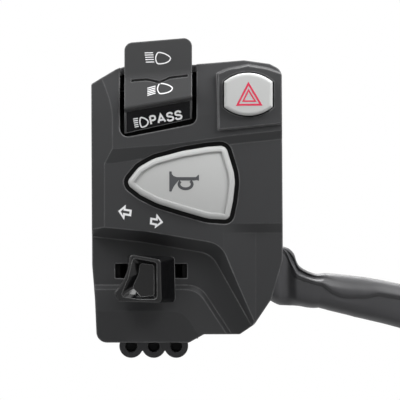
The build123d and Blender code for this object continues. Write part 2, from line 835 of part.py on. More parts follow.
def blade_slots(places, depth, thickness, upright):
    """Slots through a base plate for its terminals."""
    wide = (blade, blade_width) if upright else (blade_width, blade)
    for x, z in places:
        bar(depth, (x - wide[0] / 2, x + wide[0] / 2), (z - wide[1] / 2, z + wide[1] / 2), thickness,
            Mode.SUBTRACT)


# Dimmer base: plate with two ears that carry the rocker's pin
ear_left = rocker_left + ear_gap
ear_right = rocker_right - ear_gap - ear
dimmer_left_screw, dimmer_right_screw = dimmer_screw_places
dimmer_blades = [(rocker_x + place * rocker_width / 4, rocker_z) for place in (-1, 0, 1)]
with BuildPart() as dimmer_base:
    bar(dimmer_plate_back, (ear_left, ear_right + ear), (rocker_foot, rocker_z + 2 * ear_r), dimmer_plate)
    pads(dimmer_plate_back, dimmer_screw_places, small_post_r + ear_gap, [
        ((dimmer_left_screw[0] - small_post_r, dimmer_left_screw[0] + small_post_r),
         (dimmer_left_screw[1], rocker_foot + pass_sill)),
        ((rocker_right - 2 * ear, dimmer_right_screw[0]),
         (dimmer_right_screw[1] - small_post_r, dimmer_right_screw[1] + small_post_r)),
    ], dimmer_plate)
    for place in (ear_left, ear_right):
        ears(place, ear, dimmer_plate_front - pass_sill, rocker_pivot, rocker_z, ear_r)
    with BuildSketch(Plane.YZ.offset(-case_width)):
        with Locations((-rocker_pivot, rocker_z)):
            Circle(pin_r)
    extrude(amount=2 * case_width, mode=Mode.SUBTRACT)
    # Cam window for the detent plunger
    window = plunger_r + cheek
    bar(dimmer_plate_back, (rocker_x - window, rocker_x + window), (plunger_z - window, plunger_z + window),
        dimmer_plate, Mode.SUBTRACT)
    rod(dimmer_plate_back, dimmer_screw_places, small_r, dimmer_plate, Mode.SUBTRACT)
    blade_slots(dimmer_blades, dimmer_plate_back, dimmer_plate, False)
dimmer_base.part.label = "dimmer_base"
export_step(dimmer_base.part, "parts/dimmer_base.step")

with BuildPart() as dimmer_pin:
    with BuildSketch(Plane.YZ.offset(ear_left)):
        with Locations((-rocker_pivot, rocker_z)):
            Circle(pin_r)
    extrude(amount=ear_right + ear - ear_left)
dimmer_pin.part.label = "dimmer_pin"
export_step(dimmer_pin.part, "parts/dimmer_pin.step")

half_way = 0.5 ** 0.5
with BuildPart() as dimmer_plunger:
    rod(plunger_back + plunger_r, [(rocker_x, plunger_z)], plunger_r, plunger_length - plunger_r)
    with BuildSketch(Plane.YZ.offset(rocker_x)):
        with BuildLine():
            tip = ThreePointArc(
                (-(plunger_back + plunger_r), plunger_z + plunger_r),
                (-(plunger_back + plunger_r * (1 - half_way)), plunger_z + plunger_r * half_way),
                (-plunger_back, plunger_z),
            )
            Polyline(tip @ 1, (-(plunger_back + plunger_r), plunger_z), tip @ 0)
        make_face()
    revolve(axis=Axis((rocker_x, 0, plunger_z), (0, 1, 0)))
dimmer_plunger.part.label = "dimmer_plunger"
export_step(dimmer_plunger.part, "parts/dimmer_plunger.step")

plunger_spring_back = plunger_back + plunger_length
with BuildPart() as plunger_spring:
    tube(plunger_spring_back, (rocker_x, plunger_z), plunger_r - spring_wire, plunger_r,
         shell_back + pass_sill - plunger_spring_back)
plunger_spring.part.label = "plunger_spring"
export_step(plunger_spring.part, "parts/plunger_spring.step")

with BuildPart() as dimmer_contact:
    bar(rocker_pivot - hub_r - contact, (dimmer_blades[0][0] - rivet_r, dimmer_blades[2][0] + rivet_r),
        (rocker_z - blade_width / 2 + ear_gap / 2, rocker_z + blade_width / 2 - ear_gap / 2), contact)
dimmer_contact.part.label = "dimmer_contact"
export_step(dimmer_contact.part, "parts/dimmer_contact.step")


with BuildPart() as dimmer_terminals:
    blades(dimmer_blades, dimmer_plate_back - blade_length, dimmer_plate_front + rivet, False)
dimmer_terminals.part.label = "dimmer_terminals"
export_step(dimmer_terminals.part, "parts/dimmer_terminals.step")

with BuildPart() as dimmer_screws:
    screws(dimmer_plate_back, dimmer_screw_places, small_r - pin_clear,
           dimmer_plate + field_inner - dimmer_plate_front - head_clear, small_head_r, small_head)
dimmer_screws.part.label = "dimmer_screws"
export_step(dimmer_screws.part, "parts/dimmer_screws.step")

# Hazard button, its slider, housing, spring and contacts
hazard_front = boss_depth - boss_lean / 2 + hazard_rise
hazard_cap_back = hazard_housing_front + hazard_travel + hazard_gap
slider_back = housing_back + hazard_back + hazard_travel + contact + post_gap
hazard_x, hazard_z = hazard_at
with BuildPart() as hazard_button:
    with BuildSketch(front(hazard_cap_back)):
        add(hazard_shape(0))
    extrude(amount=hazard_front - hazard_cap_back)
    fillet(hazard_button.faces().sort_by(Axis.Y)[0].edges(), radius=hazard_edge_r)
hazard_button.part.label = "hazard_button"
export_step(hazard_button.part, "parts/hazard_button.step")

with BuildPart() as hazard_slider:
    bar(slider_back, (hazard_x - slider_width / 2, hazard_x + slider_width / 2),
        (hazard_z - slider_height / 2, hazard_z + slider_height / 2), hazard_cap_back - slider_back)
hazard_slider.part.label = "hazard_slider"
export_step(hazard_slider.part, "parts/hazard_slider.step")

housing_x = slider_width / 2 + guide_clear + housing_wall
housing_z = slider_height / 2 + guide_clear + housing_wall
hazard_blade_reach = slider_width / 2 - rivet_r + ear_gap / 2
hazard_blades = [(hazard_x - hazard_blade_reach, hazard_z), (hazard_x + hazard_blade_reach, hazard_z)]
with BuildPart() as hazard_housing:
    bar(housing_back, (hazard_x - housing_x, hazard_x + housing_x),
        (hazard_z - housing_z, hazard_z + housing_z), hazard_housing_front - housing_back)
    bar(hazard_housing_front - dimmer_plate,
        (hazard_screw_places[0][0] - small_post_r, hazard_screw_places[1][0] + small_post_r),
        (hazard_screw_places[0][1] - small_post_r, hazard_z), dimmer_plate)
    bar(housing_back + hazard_back,
        (hazard_x - housing_x + housing_wall, hazard_x + housing_x - housing_wall),
        (hazard_z - housing_z + housing_wall, hazard_z + housing_z - housing_wall),
        hazard_housing_front - housing_back, Mode.SUBTRACT)
    rod(hazard_housing_front - dimmer_plate, hazard_screw_places, small_r, dimmer_plate, Mode.SUBTRACT)
    blade_slots(hazard_blades, housing_back, hazard_back, True)
hazard_housing.part.label = "hazard_housing"
export_step(hazard_housing.part, "parts/hazard_housing.step")

with BuildPart() as hazard_contact:
    bar(slider_back - contact, (hazard_x - slider_width / 2 + ear_gap, hazard_x + slider_width / 2 - ear_gap),
        (hazard_z - slider_height / 2 + ear_gap, hazard_z + slider_height / 2 - ear_gap), contact)
    rod(slider_back - contact, [hazard_at], hazard_spring_r + spring_clear, contact, Mode.SUBTRACT)
hazard_contact.part.label = "hazard_contact"
export_step(hazard_contact.part, "parts/hazard_contact.step")

with BuildPart() as hazard_spring:
    tube(housing_back + hazard_back, hazard_at, hazard_spring_r - spring_wire, hazard_spring_r,
         slider_back - housing_back - hazard_back)
hazard_spring.part.label = "hazard_spring"
export_step(hazard_spring.part, "parts/hazard_spring.step")

with BuildPart() as hazard_terminals:
    blades(hazard_blades, housing_back - blade_length, housing_back + hazard_back + rivet, True)
hazard_terminals.part.label = "hazard_terminals"
export_step(hazard_terminals.part, "parts/hazard_terminals.step")

with BuildPart() as hazard_screws:
    screws(hazard_housing_front - dimmer_plate, hazard_screw_places, small_r - pin_clear,
           dimmer_plate + field_inner - hazard_housing_front - head_clear, small_head_r, small_head)
hazard_screws.part.label = "hazard_screws"
export_step(hazard_screws.part, "parts/hazard_screws.step")

# Horn button: a crowned and dished cap on a dark carrier
horn_x, horn_z = horn_at
horn_front = field_depth + horn_rise
lip_front = field_inner - horn_lip_gap
lip_back = lip_front - horn_lip
crown_centre = (horn_x, -(horn_front - horn_crown_r), horn_z)
# Dish inside the cap's raised rim, parallel to its crown
with BuildPart() as dish:
    with BuildSketch(front(lip_front)):
        add(horn_shape(-horn_rim))
    extrude(amount=overrun)
    with Locations(crown_centre):
        Sphere(horn_crown_r - horn_dish, mode=Mode.SUBTRACT)

with BuildPart() as horn_button:
    with BuildSketch(front(lip_front)):
        add(horn_shape(0))
    extrude(amount=horn_front - lip_front)
    with Locations(crown_centre):
        Sphere(horn_crown_r, mode=Mode.INTERSECT)
    fillet(horn_button.faces().sort_by(Axis.Y)[0].edges(), radius=horn_edge_r)
    add(dish.part, mode=Mode.SUBTRACT)
horn_button.part.label = "horn_button"
export_step(horn_button.part, "parts/horn_button.step")

# Horn carrier: retaining lip behind the case wall, with the guide post
with BuildPart() as horn_carrier:
    with BuildSketch(front(lip_back)):
        add(horn_shape(horn_lip_reach))
    extrude(amount=horn_lip)
    rod(horn_plate_front + horn_travel + post_gap, [horn_at], guide_r,
        lip_back - horn_plate_front - horn_travel - post_gap)
horn_carrier.part.label = "horn_carrier"
export_step(horn_carrier.part, "parts/horn_carrier.step")

horn_contact_x = horn_x + horn_contact_reach
horn_blades = [(horn_contact_x, horn_z + side * horn_contact_height / 4) for side in (-1, 1)]
guide_outer = guide_r + guide_clear + guide_wall
with BuildPart() as horn_base:
    bar(horn_plate_back, (horn_x - 2 * guide_outer, horn_contact_x + horn_contact_width / 2),
        (horn_z - 2 * guide_outer, horn_z + horn_height / 3), horn_plate)
    pads(horn_plate_back, horn_screw_places, small_post_r + ear_gap, [
        ((horn_screw_places[0][0] - small_post_r, horn_x),
         (horn_screw_places[0][1] - small_post_r, horn_screw_places[0][1] + small_post_r)),
        ((horn_x, horn_screw_places[1][0]),
         (horn_screw_places[1][1] - small_post_r, horn_screw_places[1][1] + small_post_r)),
    ], horn_plate)
    rod(horn_plate_front, [horn_at], guide_outer, lip_back - horn_travel - base_gap - horn_plate_front)
    rod(horn_plate_front, [horn_at], guide_r + guide_clear, far, Mode.SUBTRACT)
    rod(horn_plate_back, horn_screw_places, small_r, horn_plate, Mode.SUBTRACT)
    blade_slots(horn_blades, horn_plate_back, horn_plate, False)
horn_base.part.label = "horn_base"
export_step(horn_base.part, "parts/horn_base.step")

with BuildPart() as horn_spring:
    tube(horn_plate_front, horn_at, guide_outer + spring_clear, guide_outer + spring_clear + horn_spring_wall,
         lip_back - horn_plate_front)
horn_spring.part.label = "horn_spring"
export_step(horn_spring.part, "parts/horn_spring.step")

with BuildPart() as horn_contact:
    bar(lip_back - contact,
        (horn_contact_x - horn_contact_width / 2, horn_contact_x + horn_contact_width / 2),
        (horn_z - horn_contact_height / 2, horn_z + horn_contact_height / 2), contact)
horn_contact.part.label = "horn_contact"
export_step(horn_contact.part, "parts/horn_contact.step")

with BuildPart() as horn_terminals:
    blades(horn_blades, horn_plate_back - blade_length / 2,
           lip_back - contact - horn_travel - spring_clear, False)
horn_terminals.part.label = "horn_terminals"
export_step(horn_terminals.part, "parts/horn_terminals.step")

with BuildPart() as horn_screws:
    screws(horn_plate_back, horn_screw_places, small_r - pin_clear,
           horn_plate + field_inner - horn_plate_front - head_clear, small_head_r, small_head)
horn_screws.part.label = "horn_screws"
export_step(horn_screws.part, "parts/horn_screws.step")

# Turn signal unit: a U frame with a pin, a swinging carrier and the knob that slides in its socket
turn_x, turn_z = turn_at
arm_low = turn_z - carrier_height / 2
arm_high = turn_z + carrier_height / 2
arm_reach = floor_inner - turn_pivot - carrier_gap
swing_low = arm_low - barrel_over
swing_high = arm_high + barrel_over
frame_low = swing_low - end_play - turn_plate
frame_high = swing_high + end_play + turn_plate
frame_back = turn_pivot - barrel_r - carrier_gap - turn_plate
frame_left = turn_x - turn_frame_width / 2
frame_right = turn_x + turn_frame_width / 2
pivot_at = [(turn_x, turn_pivot)]


def pillar(level, places, radius, height, mode=Mode.ADD):
    """Round pillars along Z; places are given as X and depth."""
    with BuildSketch(Plane.XY.offset(level)) as ends:
        with Locations(*[(x, -depth) for x, depth in places]):
            Circle(radius)
    extrude(ends.sketch, amount=height, mode=mode)


def slab(level, x_span, depth_span, height, mode=Mode.ADD):
    """Flat block that lies on a level and rises by a height."""
    low, high = depth_span
    bar(low, x_span, (level, level + height), high - low, mode)


turn_terminal_places = [
    (turn_x + side * (carrier_width / 2 - carrier_gap), turn_contact_depth) for side in (-1, 0, 1)
]
with BuildPart() as turn_frame:
    for level in (frame_low, frame_high - turn_plate):
        slab(level, (frame_left, frame_right), (frame_back, turn_plate_front), turn_plate)
    bar(frame_back, (frame_left, frame_right), (frame_low, frame_high), turn_plate)
    for x, z in turn_screw_places:
        edge = frame_left if x < turn_x else frame_right
        inner = edge + turn_plate if x < turn_x else edge - turn_plate
        outer = x - small_post_r if x < turn_x else x + small_post_r
        bar(turn_plate_front - turn_plate, (min(inner, outer), max(inner, outer)), (frame_low, frame_high),
            turn_plate)
    rod(turn_plate_front - turn_plate, turn_screw_places, small_r, turn_plate, Mode.SUBTRACT)
    pillar(below, pivot_at, pin_r, case_height, Mode.SUBTRACT)
    for x, depth in turn_terminal_places:
        slab(frame_low, (x - blade / 2, x + blade / 2), (depth - blade_width / 2, depth + blade_width / 2),
             turn_plate, Mode.SUBTRACT)
turn_frame.part.label = "turn_frame"
export_step(turn_frame.part, "parts/turn_frame.step")

with BuildPart() as turn_pin:
    pillar(frame_low, pivot_at, pin_r, frame_high - frame_low)
turn_pin.part.label = "turn_pin"
export_step(turn_pin.part, "parts/turn_pin.step")

socket_x = stem_width / 2 + stem_clear
socket_z = stem_height / 2 + stem_clear
with BuildPart() as turn_carrier:
    bar(turn_pivot, (turn_x - carrier_width / 2, turn_x + carrier_width / 2), (arm_low, arm_high), far)
    pillar(below, pivot_at, arm_reach, case_height, Mode.INTERSECT)
    pillar(swing_low, pivot_at, barrel_r, swing_high - swing_low)
    pillar(below, pivot_at, pin_r + pin_clear, case_height, Mode.SUBTRACT)
    bar(socket_floor, (turn_x - socket_x, turn_x + socket_x), (turn_z - socket_z, turn_z + socket_z), far,
        Mode.SUBTRACT)
    pillar(arm_high - ball_bore, [(turn_x, ball_depth)], ball_r + pin_clear, far, Mode.SUBTRACT)
turn_carrier.part.label = "turn_carrier"
export_step(turn_carrier.part, "parts/turn_carrier.step")

ball_z = swing_high - ball_r
with BuildPart() as detent_ball:
    with Locations((turn_x, -ball_depth, ball_z)):
        Sphere(ball_r)
detent_ball.part.label = "detent_ball"
export_step(detent_ball.part, "parts/detent_ball.step")

ball_seat = ball_r / 2
detent_spring_top = ball_z - (ball_r ** 2 - ball_seat ** 2) ** 0.5
with BuildPart() as detent_spring:
    pillar(arm_high - ball_bore, [(turn_x, ball_depth)], ball_r - spring_clear,
           detent_spring_top - arm_high + ball_bore)
    pillar(arm_high - ball_bore, [(turn_x, ball_depth)], ball_seat, far, Mode.SUBTRACT)
detent_spring.part.label = "detent_spring"
export_step(detent_spring.part, "parts/detent_spring.step")

with BuildPart() as turn_contact:
    half_contact = carrier_width / 2 - carrier_gap
    slab(arm_low - contact, (turn_x - half_contact, turn_x + half_contact),
         (turn_contact_depth - turn_contact_length / 2, turn_contact_depth + turn_contact_length / 2),
         contact)
turn_contact.part.label = "turn_contact"
export_step(turn_contact.part, "parts/turn_contact.step")

with BuildPart() as turn_terminals:
    for x, depth in turn_terminal_places:
        slab(frame_low + turn_plate - blade_length, (x - blade / 2, x + blade / 2),
             (depth - blade_width / 2, depth + blade_width / 2), blade_length)
    pillar(frame_low + turn_plate, turn_terminal_places, rivet_r, rivet)
turn_terminals.part.label = "turn_terminals"
export_step(turn_terminals.part, "parts/turn_terminals.step")

with BuildPart() as turn_screws:
    screws(turn_plate_front - turn_plate, turn_screw_places, small_r - pin_clear,
           turn_plate + floor_inner - turn_plate_front - head_clear, small_head_r, small_head)
turn_screws.part.label = "turn_screws"
export_step(turn_screws.part, "parts/turn_screws.step")

with BuildPart() as cancel_spring:
    tube(socket_floor, turn_at, cancel_spring_r - spring_wire, cancel_spring_r, stem_back - socket_floor)
cancel_spring.part.label = "cancel_spring"
export_step(cancel_spring.part, "parts/cancel_spring.step")


def knob_outline(shares, bow_shares):
    """Thumb piece outline, its left side bowed inwards."""
    points = around(turn_at, shares, knob_width, knob_height)
    bow = around(turn_at, [bow_shares], knob_width, knob_height)[0]
    with BuildSketch() as shape:
        with BuildLine():
            Polyline(*points)
            ThreePointArc(points[-1], bow, points[0])
        make_face()
        fillet(shape.vertices(), radius=knob_corner_r)
    return shape.sketch


knob_back = block_depth + cancel_travel
with BuildPart() as turn_knob:
    with BuildSketch(front(knob_back)):
        add(knob_outline(knob_back_shares, knob_back_bow_shares))
    with BuildSketch(front(knob_face)):
        add(knob_outline(knob_front_shares, knob_front_bow_shares))
    loft(ruled=True)
    fillet(turn_knob.faces().sort_by(Axis.Y)[0].edges(), radius=knob_edge_r)
    # The back follows an arc about the pivot, so it clears the case all through the swing
    pillar(below, pivot_at, block_depth - turn_pivot + cancel_travel + knob_lift, case_height, Mode.SUBTRACT)
    between(knob_face - dish_depth, knob_face, around(turn_at, dish_floor_shares, knob_width, knob_height),
            around(turn_at, dish_mouth_shares, knob_width, knob_height), Mode.SUBTRACT,
            len(dish_mouth_shares) * [dish_corner_r])
    bar(stem_back, (turn_x - stem_width / 2, turn_x + stem_width / 2),
        (turn_z - stem_height / 2, turn_z + stem_height / 2), knob_face - 2 * dish_depth - stem_back)
turn_knob.part.label = "turn_knob"
export_step(turn_knob.part, "parts/turn_knob.step")

# Harness: core, strap, boot and inner leads
rear_inner = rear_depth - wall
core_plane = Plane.YZ.offset(core_end)
with BuildPart() as harness_core:
    with BuildSketch(core_plane):
        with Locations((harness_y, harness_z)):
            Circle(core_r)
    extrude(amount=boot_bore - core_end)
harness_core.part.label = "harness_core"
export_step(harness_core.part, "parts/harness_core.step")

strap_foot = harness_z + core_r / 2
strap_top = strap_screw_at[1] + strap_tab / 2
with BuildPart() as cable_strap:
    with BuildSketch(Plane.YZ.offset(strap_place - strap_width / 2)):
        with Locations((harness_y, harness_z)):
            Circle(core_r + strap)
        with Locations((rear_inner - strap / 2, (strap_foot + strap_top) / 2)):
            Rectangle(strap, strap_top - strap_foot)
        with Locations((harness_y, harness_z)):
            Circle(core_r, mode=Mode.SUBTRACT)
    extrude(amount=strap_width)
    rod(-rear_depth, [strap_screw_at], small_r, rear_depth, Mode.SUBTRACT)
cable_strap.part.label = "cable_strap"
export_step(cable_strap.part, "parts/cable_strap.step")

with BuildPart() as strap_screw:
    screws(strap - rear_inner, [strap_screw_at], small_r - pin_clear,
           strap / 2 + 2 * pin_clear - strap - wall, small_head_r, -small_head)
strap_screw.part.label = "strap_screw"
export_step(strap_screw.part, "parts/strap_screw.step")

route = [tuple(share * case_width for share in place) for place in route_shares]
route_start = Vector(*route[0])
route_way = (Vector(*route[1]) - route_start).normalized()


def oval(plane, place, half_depth, half_height):
    with BuildSketch(plane) as section:
        with Locations(place):
            Ellipse(half_depth, half_height)
    return section.sketch.face()


mouth_plane = Plane(origin=route_start, x_dir=(0, 1, 0), z_dir=route_way)
boot_sections = [
    oval(Plane.YZ.offset(x * case_width), (harness_y, z * case_width),
         depth * case_width, height * case_width)
    for x, z, height, depth in boot_shares
]
boot_sections.append(oval(mouth_plane, (0, 0), sheath_thickness / 2, sheath_width / 2 - ear_gap))
collar_left = rear_wall - wall - neck_clear - collar
with BuildPart() as cable_boot:
    loft(sections=boot_sections, ruled=True)
    with BuildSketch(Plane.YZ.offset(collar_left)):
        with Locations((harness_y, harness_z)):
            Circle(neck_r)
        with Locations((harness_y / 2 + neck_clear, harness_z)):
            Rectangle(harness_y - 2 * neck_clear, 2 * neck_r)
    extrude(amount=boot_bore - collar_left)
    with BuildSketch(Plane.YZ.offset(collar_left)):
        with Locations((harness_y, harness_z)):
            Ellipse(collar_thickness, collar_height)
    extrude(amount=collar)
    with BuildSketch(Plane.YZ.offset(collar_left)):
        with Locations((harness_y, harness_z)):
            Circle(core_r)
    extrude(amount=boot_bore - collar_left, mode=Mode.SUBTRACT)
cable_boot.part.label = "cable_boot"
export_step(cable_boot.part, "parts/cable_boot.step")

turn_lead_x = turn_terminal_places[2][0]
turn_lead_end = frame_low + turn_plate - blade_length
turn_lead_z = turn_lead_end - 2 * lead_bend_r
horn_lead_y = 2 * lead_bend_r - horn_plate_back + blade_length / 2 - 2 * end_play
horn_lead_z = horn_blades[0][1]
hazard_lead_x = case_right - wall - lead_r - 2 * pin_clear - ear_gap
hazard_lead_back = rocker_z / 4
dimmer_lead_x = horn_screw_places[0][0] - small_post_r - 2 * base_gap
dimmer_pass_x = dimmer_screw_places[0][0] - small_post_r - 3 * base_gap - ear_gap
over_bar = liner_r + lead_r + 2 * base_gap - end_play
lead_rise = harness_z + lead_lift
low_lead_z = harness_z - lead_pitch
high_lead_z = harness_z + lead_pitch
near_lead_y = harness_y - lead_pitch
far_lead_y = harness_y + lead_pitch
hazard_turn_x = core_end - lead_bend_r - end_play
dimmer_lead_y = wall - horn_plate_back
dimmer_end_y = wall + base_gap - rocker_z / 2 - lead_r
lead_routes = [
    [(core_end, harness_y, low_lead_z), (turn_lead_x, harness_y, low_lead_z),
     (turn_lead_x, harness_y, turn_lead_z), (turn_lead_x, -turn_contact_depth, turn_lead_z),
     (turn_lead_x, -turn_contact_depth, turn_lead_end)],
    [(core_end, harness_y, high_lead_z), (horn_contact_x, harness_y, high_lead_z),
     (horn_contact_x, horn_lead_y, high_lead_z), (horn_contact_x, horn_lead_y, horn_lead_z),
     (horn_contact_x, blade_length / 2 - horn_plate_back, horn_lead_z)],
    [(core_end, near_lead_y, harness_z), (hazard_turn_x, near_lead_y, harness_z),
     (hazard_turn_x, near_lead_y, lead_rise), (hazard_turn_x, -over_bar, lead_rise),
     (hazard_lead_x, -over_bar, lead_rise), (hazard_lead_x, -over_bar, hazard_z),
     (hazard_lead_x, -hazard_lead_back, hazard_z), (hazard_blades[1][0], -hazard_lead_back, hazard_z),
     (hazard_blades[1][0], blade_length - housing_back, hazard_z)],
    [(core_end, far_lead_y, harness_z), (dimmer_lead_x, far_lead_y, harness_z),
     (dimmer_lead_x, far_lead_y, lead_rise), (dimmer_lead_x, dimmer_lead_y, lead_rise),
     (dimmer_lead_x, dimmer_lead_y, -over_bar + wall), (dimmer_pass_x, -over_bar, -over_bar / 2),
     (dimmer_pass_x, -over_bar, rocker_z), (dimmer_pass_x, dimmer_end_y, rocker_z),
     (dimmer_blades[0][0], dimmer_end_y, rocker_z),
     (dimmer_blades[0][0], blade_length - dimmer_plate_back, rocker_z)],
]
with BuildPart() as inner_leads:
    for points in lead_routes:
        with BuildLine() as lead:
            FilletPolyline(*points, radius=lead_bend_r)
        with BuildSketch(lead.line ^ 0) as lead_end:
            Circle(lead_r)
        sweep(sections=lead_end.sketch, path=lead.line)
inner_leads.part.label = "inner_leads"
export_step(inner_leads.part, "parts/inner_leads.step")

# Sheath: straight runs of the route joined by arcs
runs = [Vector(*b) - Vector(*a) for a, b in zip(route, route[1:])]
turns = [radians(a.get_angle(b)) for a, b in zip(runs, runs[1:])]
bends = [route_fit * min(a.length, b.length) / tan(turn / 2) for a, b, turn in zip(runs, runs[1:], turns)]
sheath_length = sum(run.length for run in runs)
with BuildPart() as cable_sheath:
    with BuildLine() as sheath_path:
        FilletPolyline(*route, radius=bends)
    with BuildSketch(mouth_plane) as sheath_section:
        Ellipse(sheath_thickness / 2, sheath_width / 2)
    sweep(sections=sheath_section.sketch, path=sheath_path.line)
cable_sheath.part.label = "cable_sheath"
export_step(cable_sheath.part, "parts/cable_sheath.step")
print("sheath length", round(sheath_length, 1), "bends", [round(bend, 1) for bend in bends])
print("sheath volume", round(cable_sheath.part.volume), "section times path",
      round(sheath_section.sketch.area * sum(edge.length for edge in sheath_path.edges())))

# Pigtail and its connector
end_x, end_y, end_z = route[-1]
housing_top = end_z - wire_length
housing_foot = housing_top - connector_z
cavity_floor = housing_foot + cavity_depth


def grid(pitch):
    """Two rows of three places about the route's end, as X and depth."""
    return [(end_x + column * pitch, row * pitch / 2 - end_y) for column in (-1, 0, 1) for row in (-1, 1)]


wire_grid = grid(wire_pitch)
cavity_grid = grid(cavity_pitch)
wire_foot = cavity_floor + terminal_root
with BuildPart() as pigtail_leads:
    for (top_x, top_depth), (foot_x, foot_depth) in zip(wire_grid, cavity_grid):
        with BuildLine() as wire:
            FilletPolyline(
                (top_x, -top_depth, end_z), (top_x, -top_depth, end_z - wire_length / 3),
                (foot_x, -foot_depth, housing_top + wire_length / 6), (foot_x, -foot_depth, wire_foot),
                radius=4 * wire_r,
            )
        with BuildSketch(Plane.XY.offset(end_z)) as wire_end:
            with Locations((top_x, -top_depth)):
                Circle(wire_r)
        sweep(sections=wire_end.sketch, path=wire.line)
pigtail_leads.part.label = "pigtail_leads"
export_step(pigtail_leads.part, "parts/pigtail_leads.step")

with BuildPart() as connector_housing:
    with BuildSketch(Plane.XY.offset(housing_foot)):
        with Locations((end_x, end_y)):
            RectangleRounded(connector_x, connector_y, connector_r)
    extrude(amount=connector_z)
    fillet(connector_housing.faces().sort_by(Axis.Z)[-1].edges(), radius=connector_r / 2)
    slab(housing_foot + cavity_depth, (end_x - latch_width / 2, end_x + latch_width / 2),
         (connector_y / 2 - end_y, connector_y / 2 - end_y + latch), latch_length)
    pillar(wire_foot, cavity_grid, wire_r, connector_z, Mode.SUBTRACT)
    for x, depth in cavity_grid:
        slab(housing_foot, (x - cavity / 2, x + cavity / 2), (depth - cavity / 2, depth + cavity / 2),
             cavity_depth, Mode.SUBTRACT)
        slab(cavity_floor, (x - terminal_width / 2, x + terminal_width / 2),
             (depth - blade / 2, depth + blade / 2), terminal_root, Mode.SUBTRACT)
connector_housing.part.label = "connector_housing"
export_step(connector_housing.part, "parts/connector_housing.step")

with BuildPart() as connector_terminals:
    for x, depth in cavity_grid:
        slab(wire_foot - terminal_length - terminal_root, (x - terminal_width / 2, x + terminal_width / 2),
             (depth - blade / 2, depth + blade / 2), terminal_length + terminal_root)
connector_terminals.part.label = "connector_terminals"
export_step(connector_terminals.part, "parts/connector_terminals.step")

# Lead grommet: three blind barrels under the case, with a stem and a flange inside it
stem_low = barrel_length / 3 + end_play
stem_high = 2 * barrel_length / 3 - end_play
flange_level = case_floor + bottom_notch + wall + end_play
with BuildPart() as lead_grommet:
    barrels = [(grommet_x + side * barrel_pitch, grommet_z) for side in (-1, 0, 1)]
    rod(0, barrels, barrel_tube_r, barrel_length)
    bar(0, (grommet_x - barrel_pitch, grommet_x + barrel_pitch),
        (grommet_z - grommet_web / 2, grommet_z + grommet_web / 2), barrel_length)
    bar(stem_low, (grommet_x - barrel_pitch + end_play, grommet_x + barrel_pitch - end_play),
        (grommet_z, flange_level + wall / 2), stem_high - stem_low)
    bar(stem_low - wall / 2, (grommet_x - barrel_pitch - wall / 2, grommet_x + barrel_pitch + wall / 2),
        (flange_level, flange_level + wall / 2), stem_high - stem_low + wall)
    rod(barrel_length - barrel_hole, barrels, barrel_hole_r, barrel_hole, Mode.SUBTRACT)
lead_grommet.part.label = "lead_grommet"
export_step(lead_grommet.part, "parts/lead_grommet.step")
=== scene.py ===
"""Left-hand handlebar switch cluster, dressed for rendering.

Every length is in metres. The handlebar runs along X, the rider looks along +Y and +Z is up.
"""
import json
import math

import bmesh
import bpy
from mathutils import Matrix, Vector
from mathutils.bvhtree import BVHTree
from mathutils.geometry import tessellate_polygon


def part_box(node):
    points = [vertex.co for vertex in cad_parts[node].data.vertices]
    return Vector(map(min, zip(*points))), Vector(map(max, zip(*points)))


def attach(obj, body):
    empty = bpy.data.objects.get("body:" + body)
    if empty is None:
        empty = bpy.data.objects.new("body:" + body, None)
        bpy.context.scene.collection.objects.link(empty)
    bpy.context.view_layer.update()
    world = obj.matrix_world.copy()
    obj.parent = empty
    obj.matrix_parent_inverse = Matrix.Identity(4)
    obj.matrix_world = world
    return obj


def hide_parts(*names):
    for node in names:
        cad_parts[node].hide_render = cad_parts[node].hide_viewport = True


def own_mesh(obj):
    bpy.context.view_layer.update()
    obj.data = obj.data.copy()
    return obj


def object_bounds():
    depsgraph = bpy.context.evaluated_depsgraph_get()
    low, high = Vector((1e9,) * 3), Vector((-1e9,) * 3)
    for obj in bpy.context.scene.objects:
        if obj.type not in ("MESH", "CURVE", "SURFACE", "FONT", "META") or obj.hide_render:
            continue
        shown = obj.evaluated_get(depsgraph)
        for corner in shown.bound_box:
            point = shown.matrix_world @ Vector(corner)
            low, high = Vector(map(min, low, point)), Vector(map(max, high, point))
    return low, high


bl_info = {
    "name": "Handlebar Switch Cluster",
    "version": (1, 0, 0),
    "blender": (4, 5, 0),
    "location": "3D View > Sidebar > Switch",
    "description": "Dresses a handlebar switch cluster: sheath, boot, springs, prints and finishes",
    "category": "Object",
}

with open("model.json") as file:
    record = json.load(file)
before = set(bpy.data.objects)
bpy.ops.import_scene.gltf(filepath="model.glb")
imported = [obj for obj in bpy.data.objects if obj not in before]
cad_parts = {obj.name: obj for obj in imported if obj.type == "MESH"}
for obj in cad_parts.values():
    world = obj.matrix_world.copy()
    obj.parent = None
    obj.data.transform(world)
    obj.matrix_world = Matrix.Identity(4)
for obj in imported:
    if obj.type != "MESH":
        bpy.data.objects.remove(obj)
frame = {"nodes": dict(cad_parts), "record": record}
CAD_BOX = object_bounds()
MM = 0.001

# The view is 400 pixels wide. A pixel covers this much of the case's face
PIXEL = 0.3 * MM
BAR_PX = (187.0, 140.0)
VIEW_CENTRE_PX = (200.0, 200.0)

SIDEWAYS = Vector((1.0, 0.0, 0.0))
FORWARDS = Vector((0.0, 1.0, 0.0))
UPWARDS = Vector((0.0, 0.0, 1.0))
FACING = Vector((0.0, -1.0, 0.0))

SHEATH_WIDTH = 12.0 * MM
SHEATH_DEPTH = 8.0 * MM


# Settings that a user would change

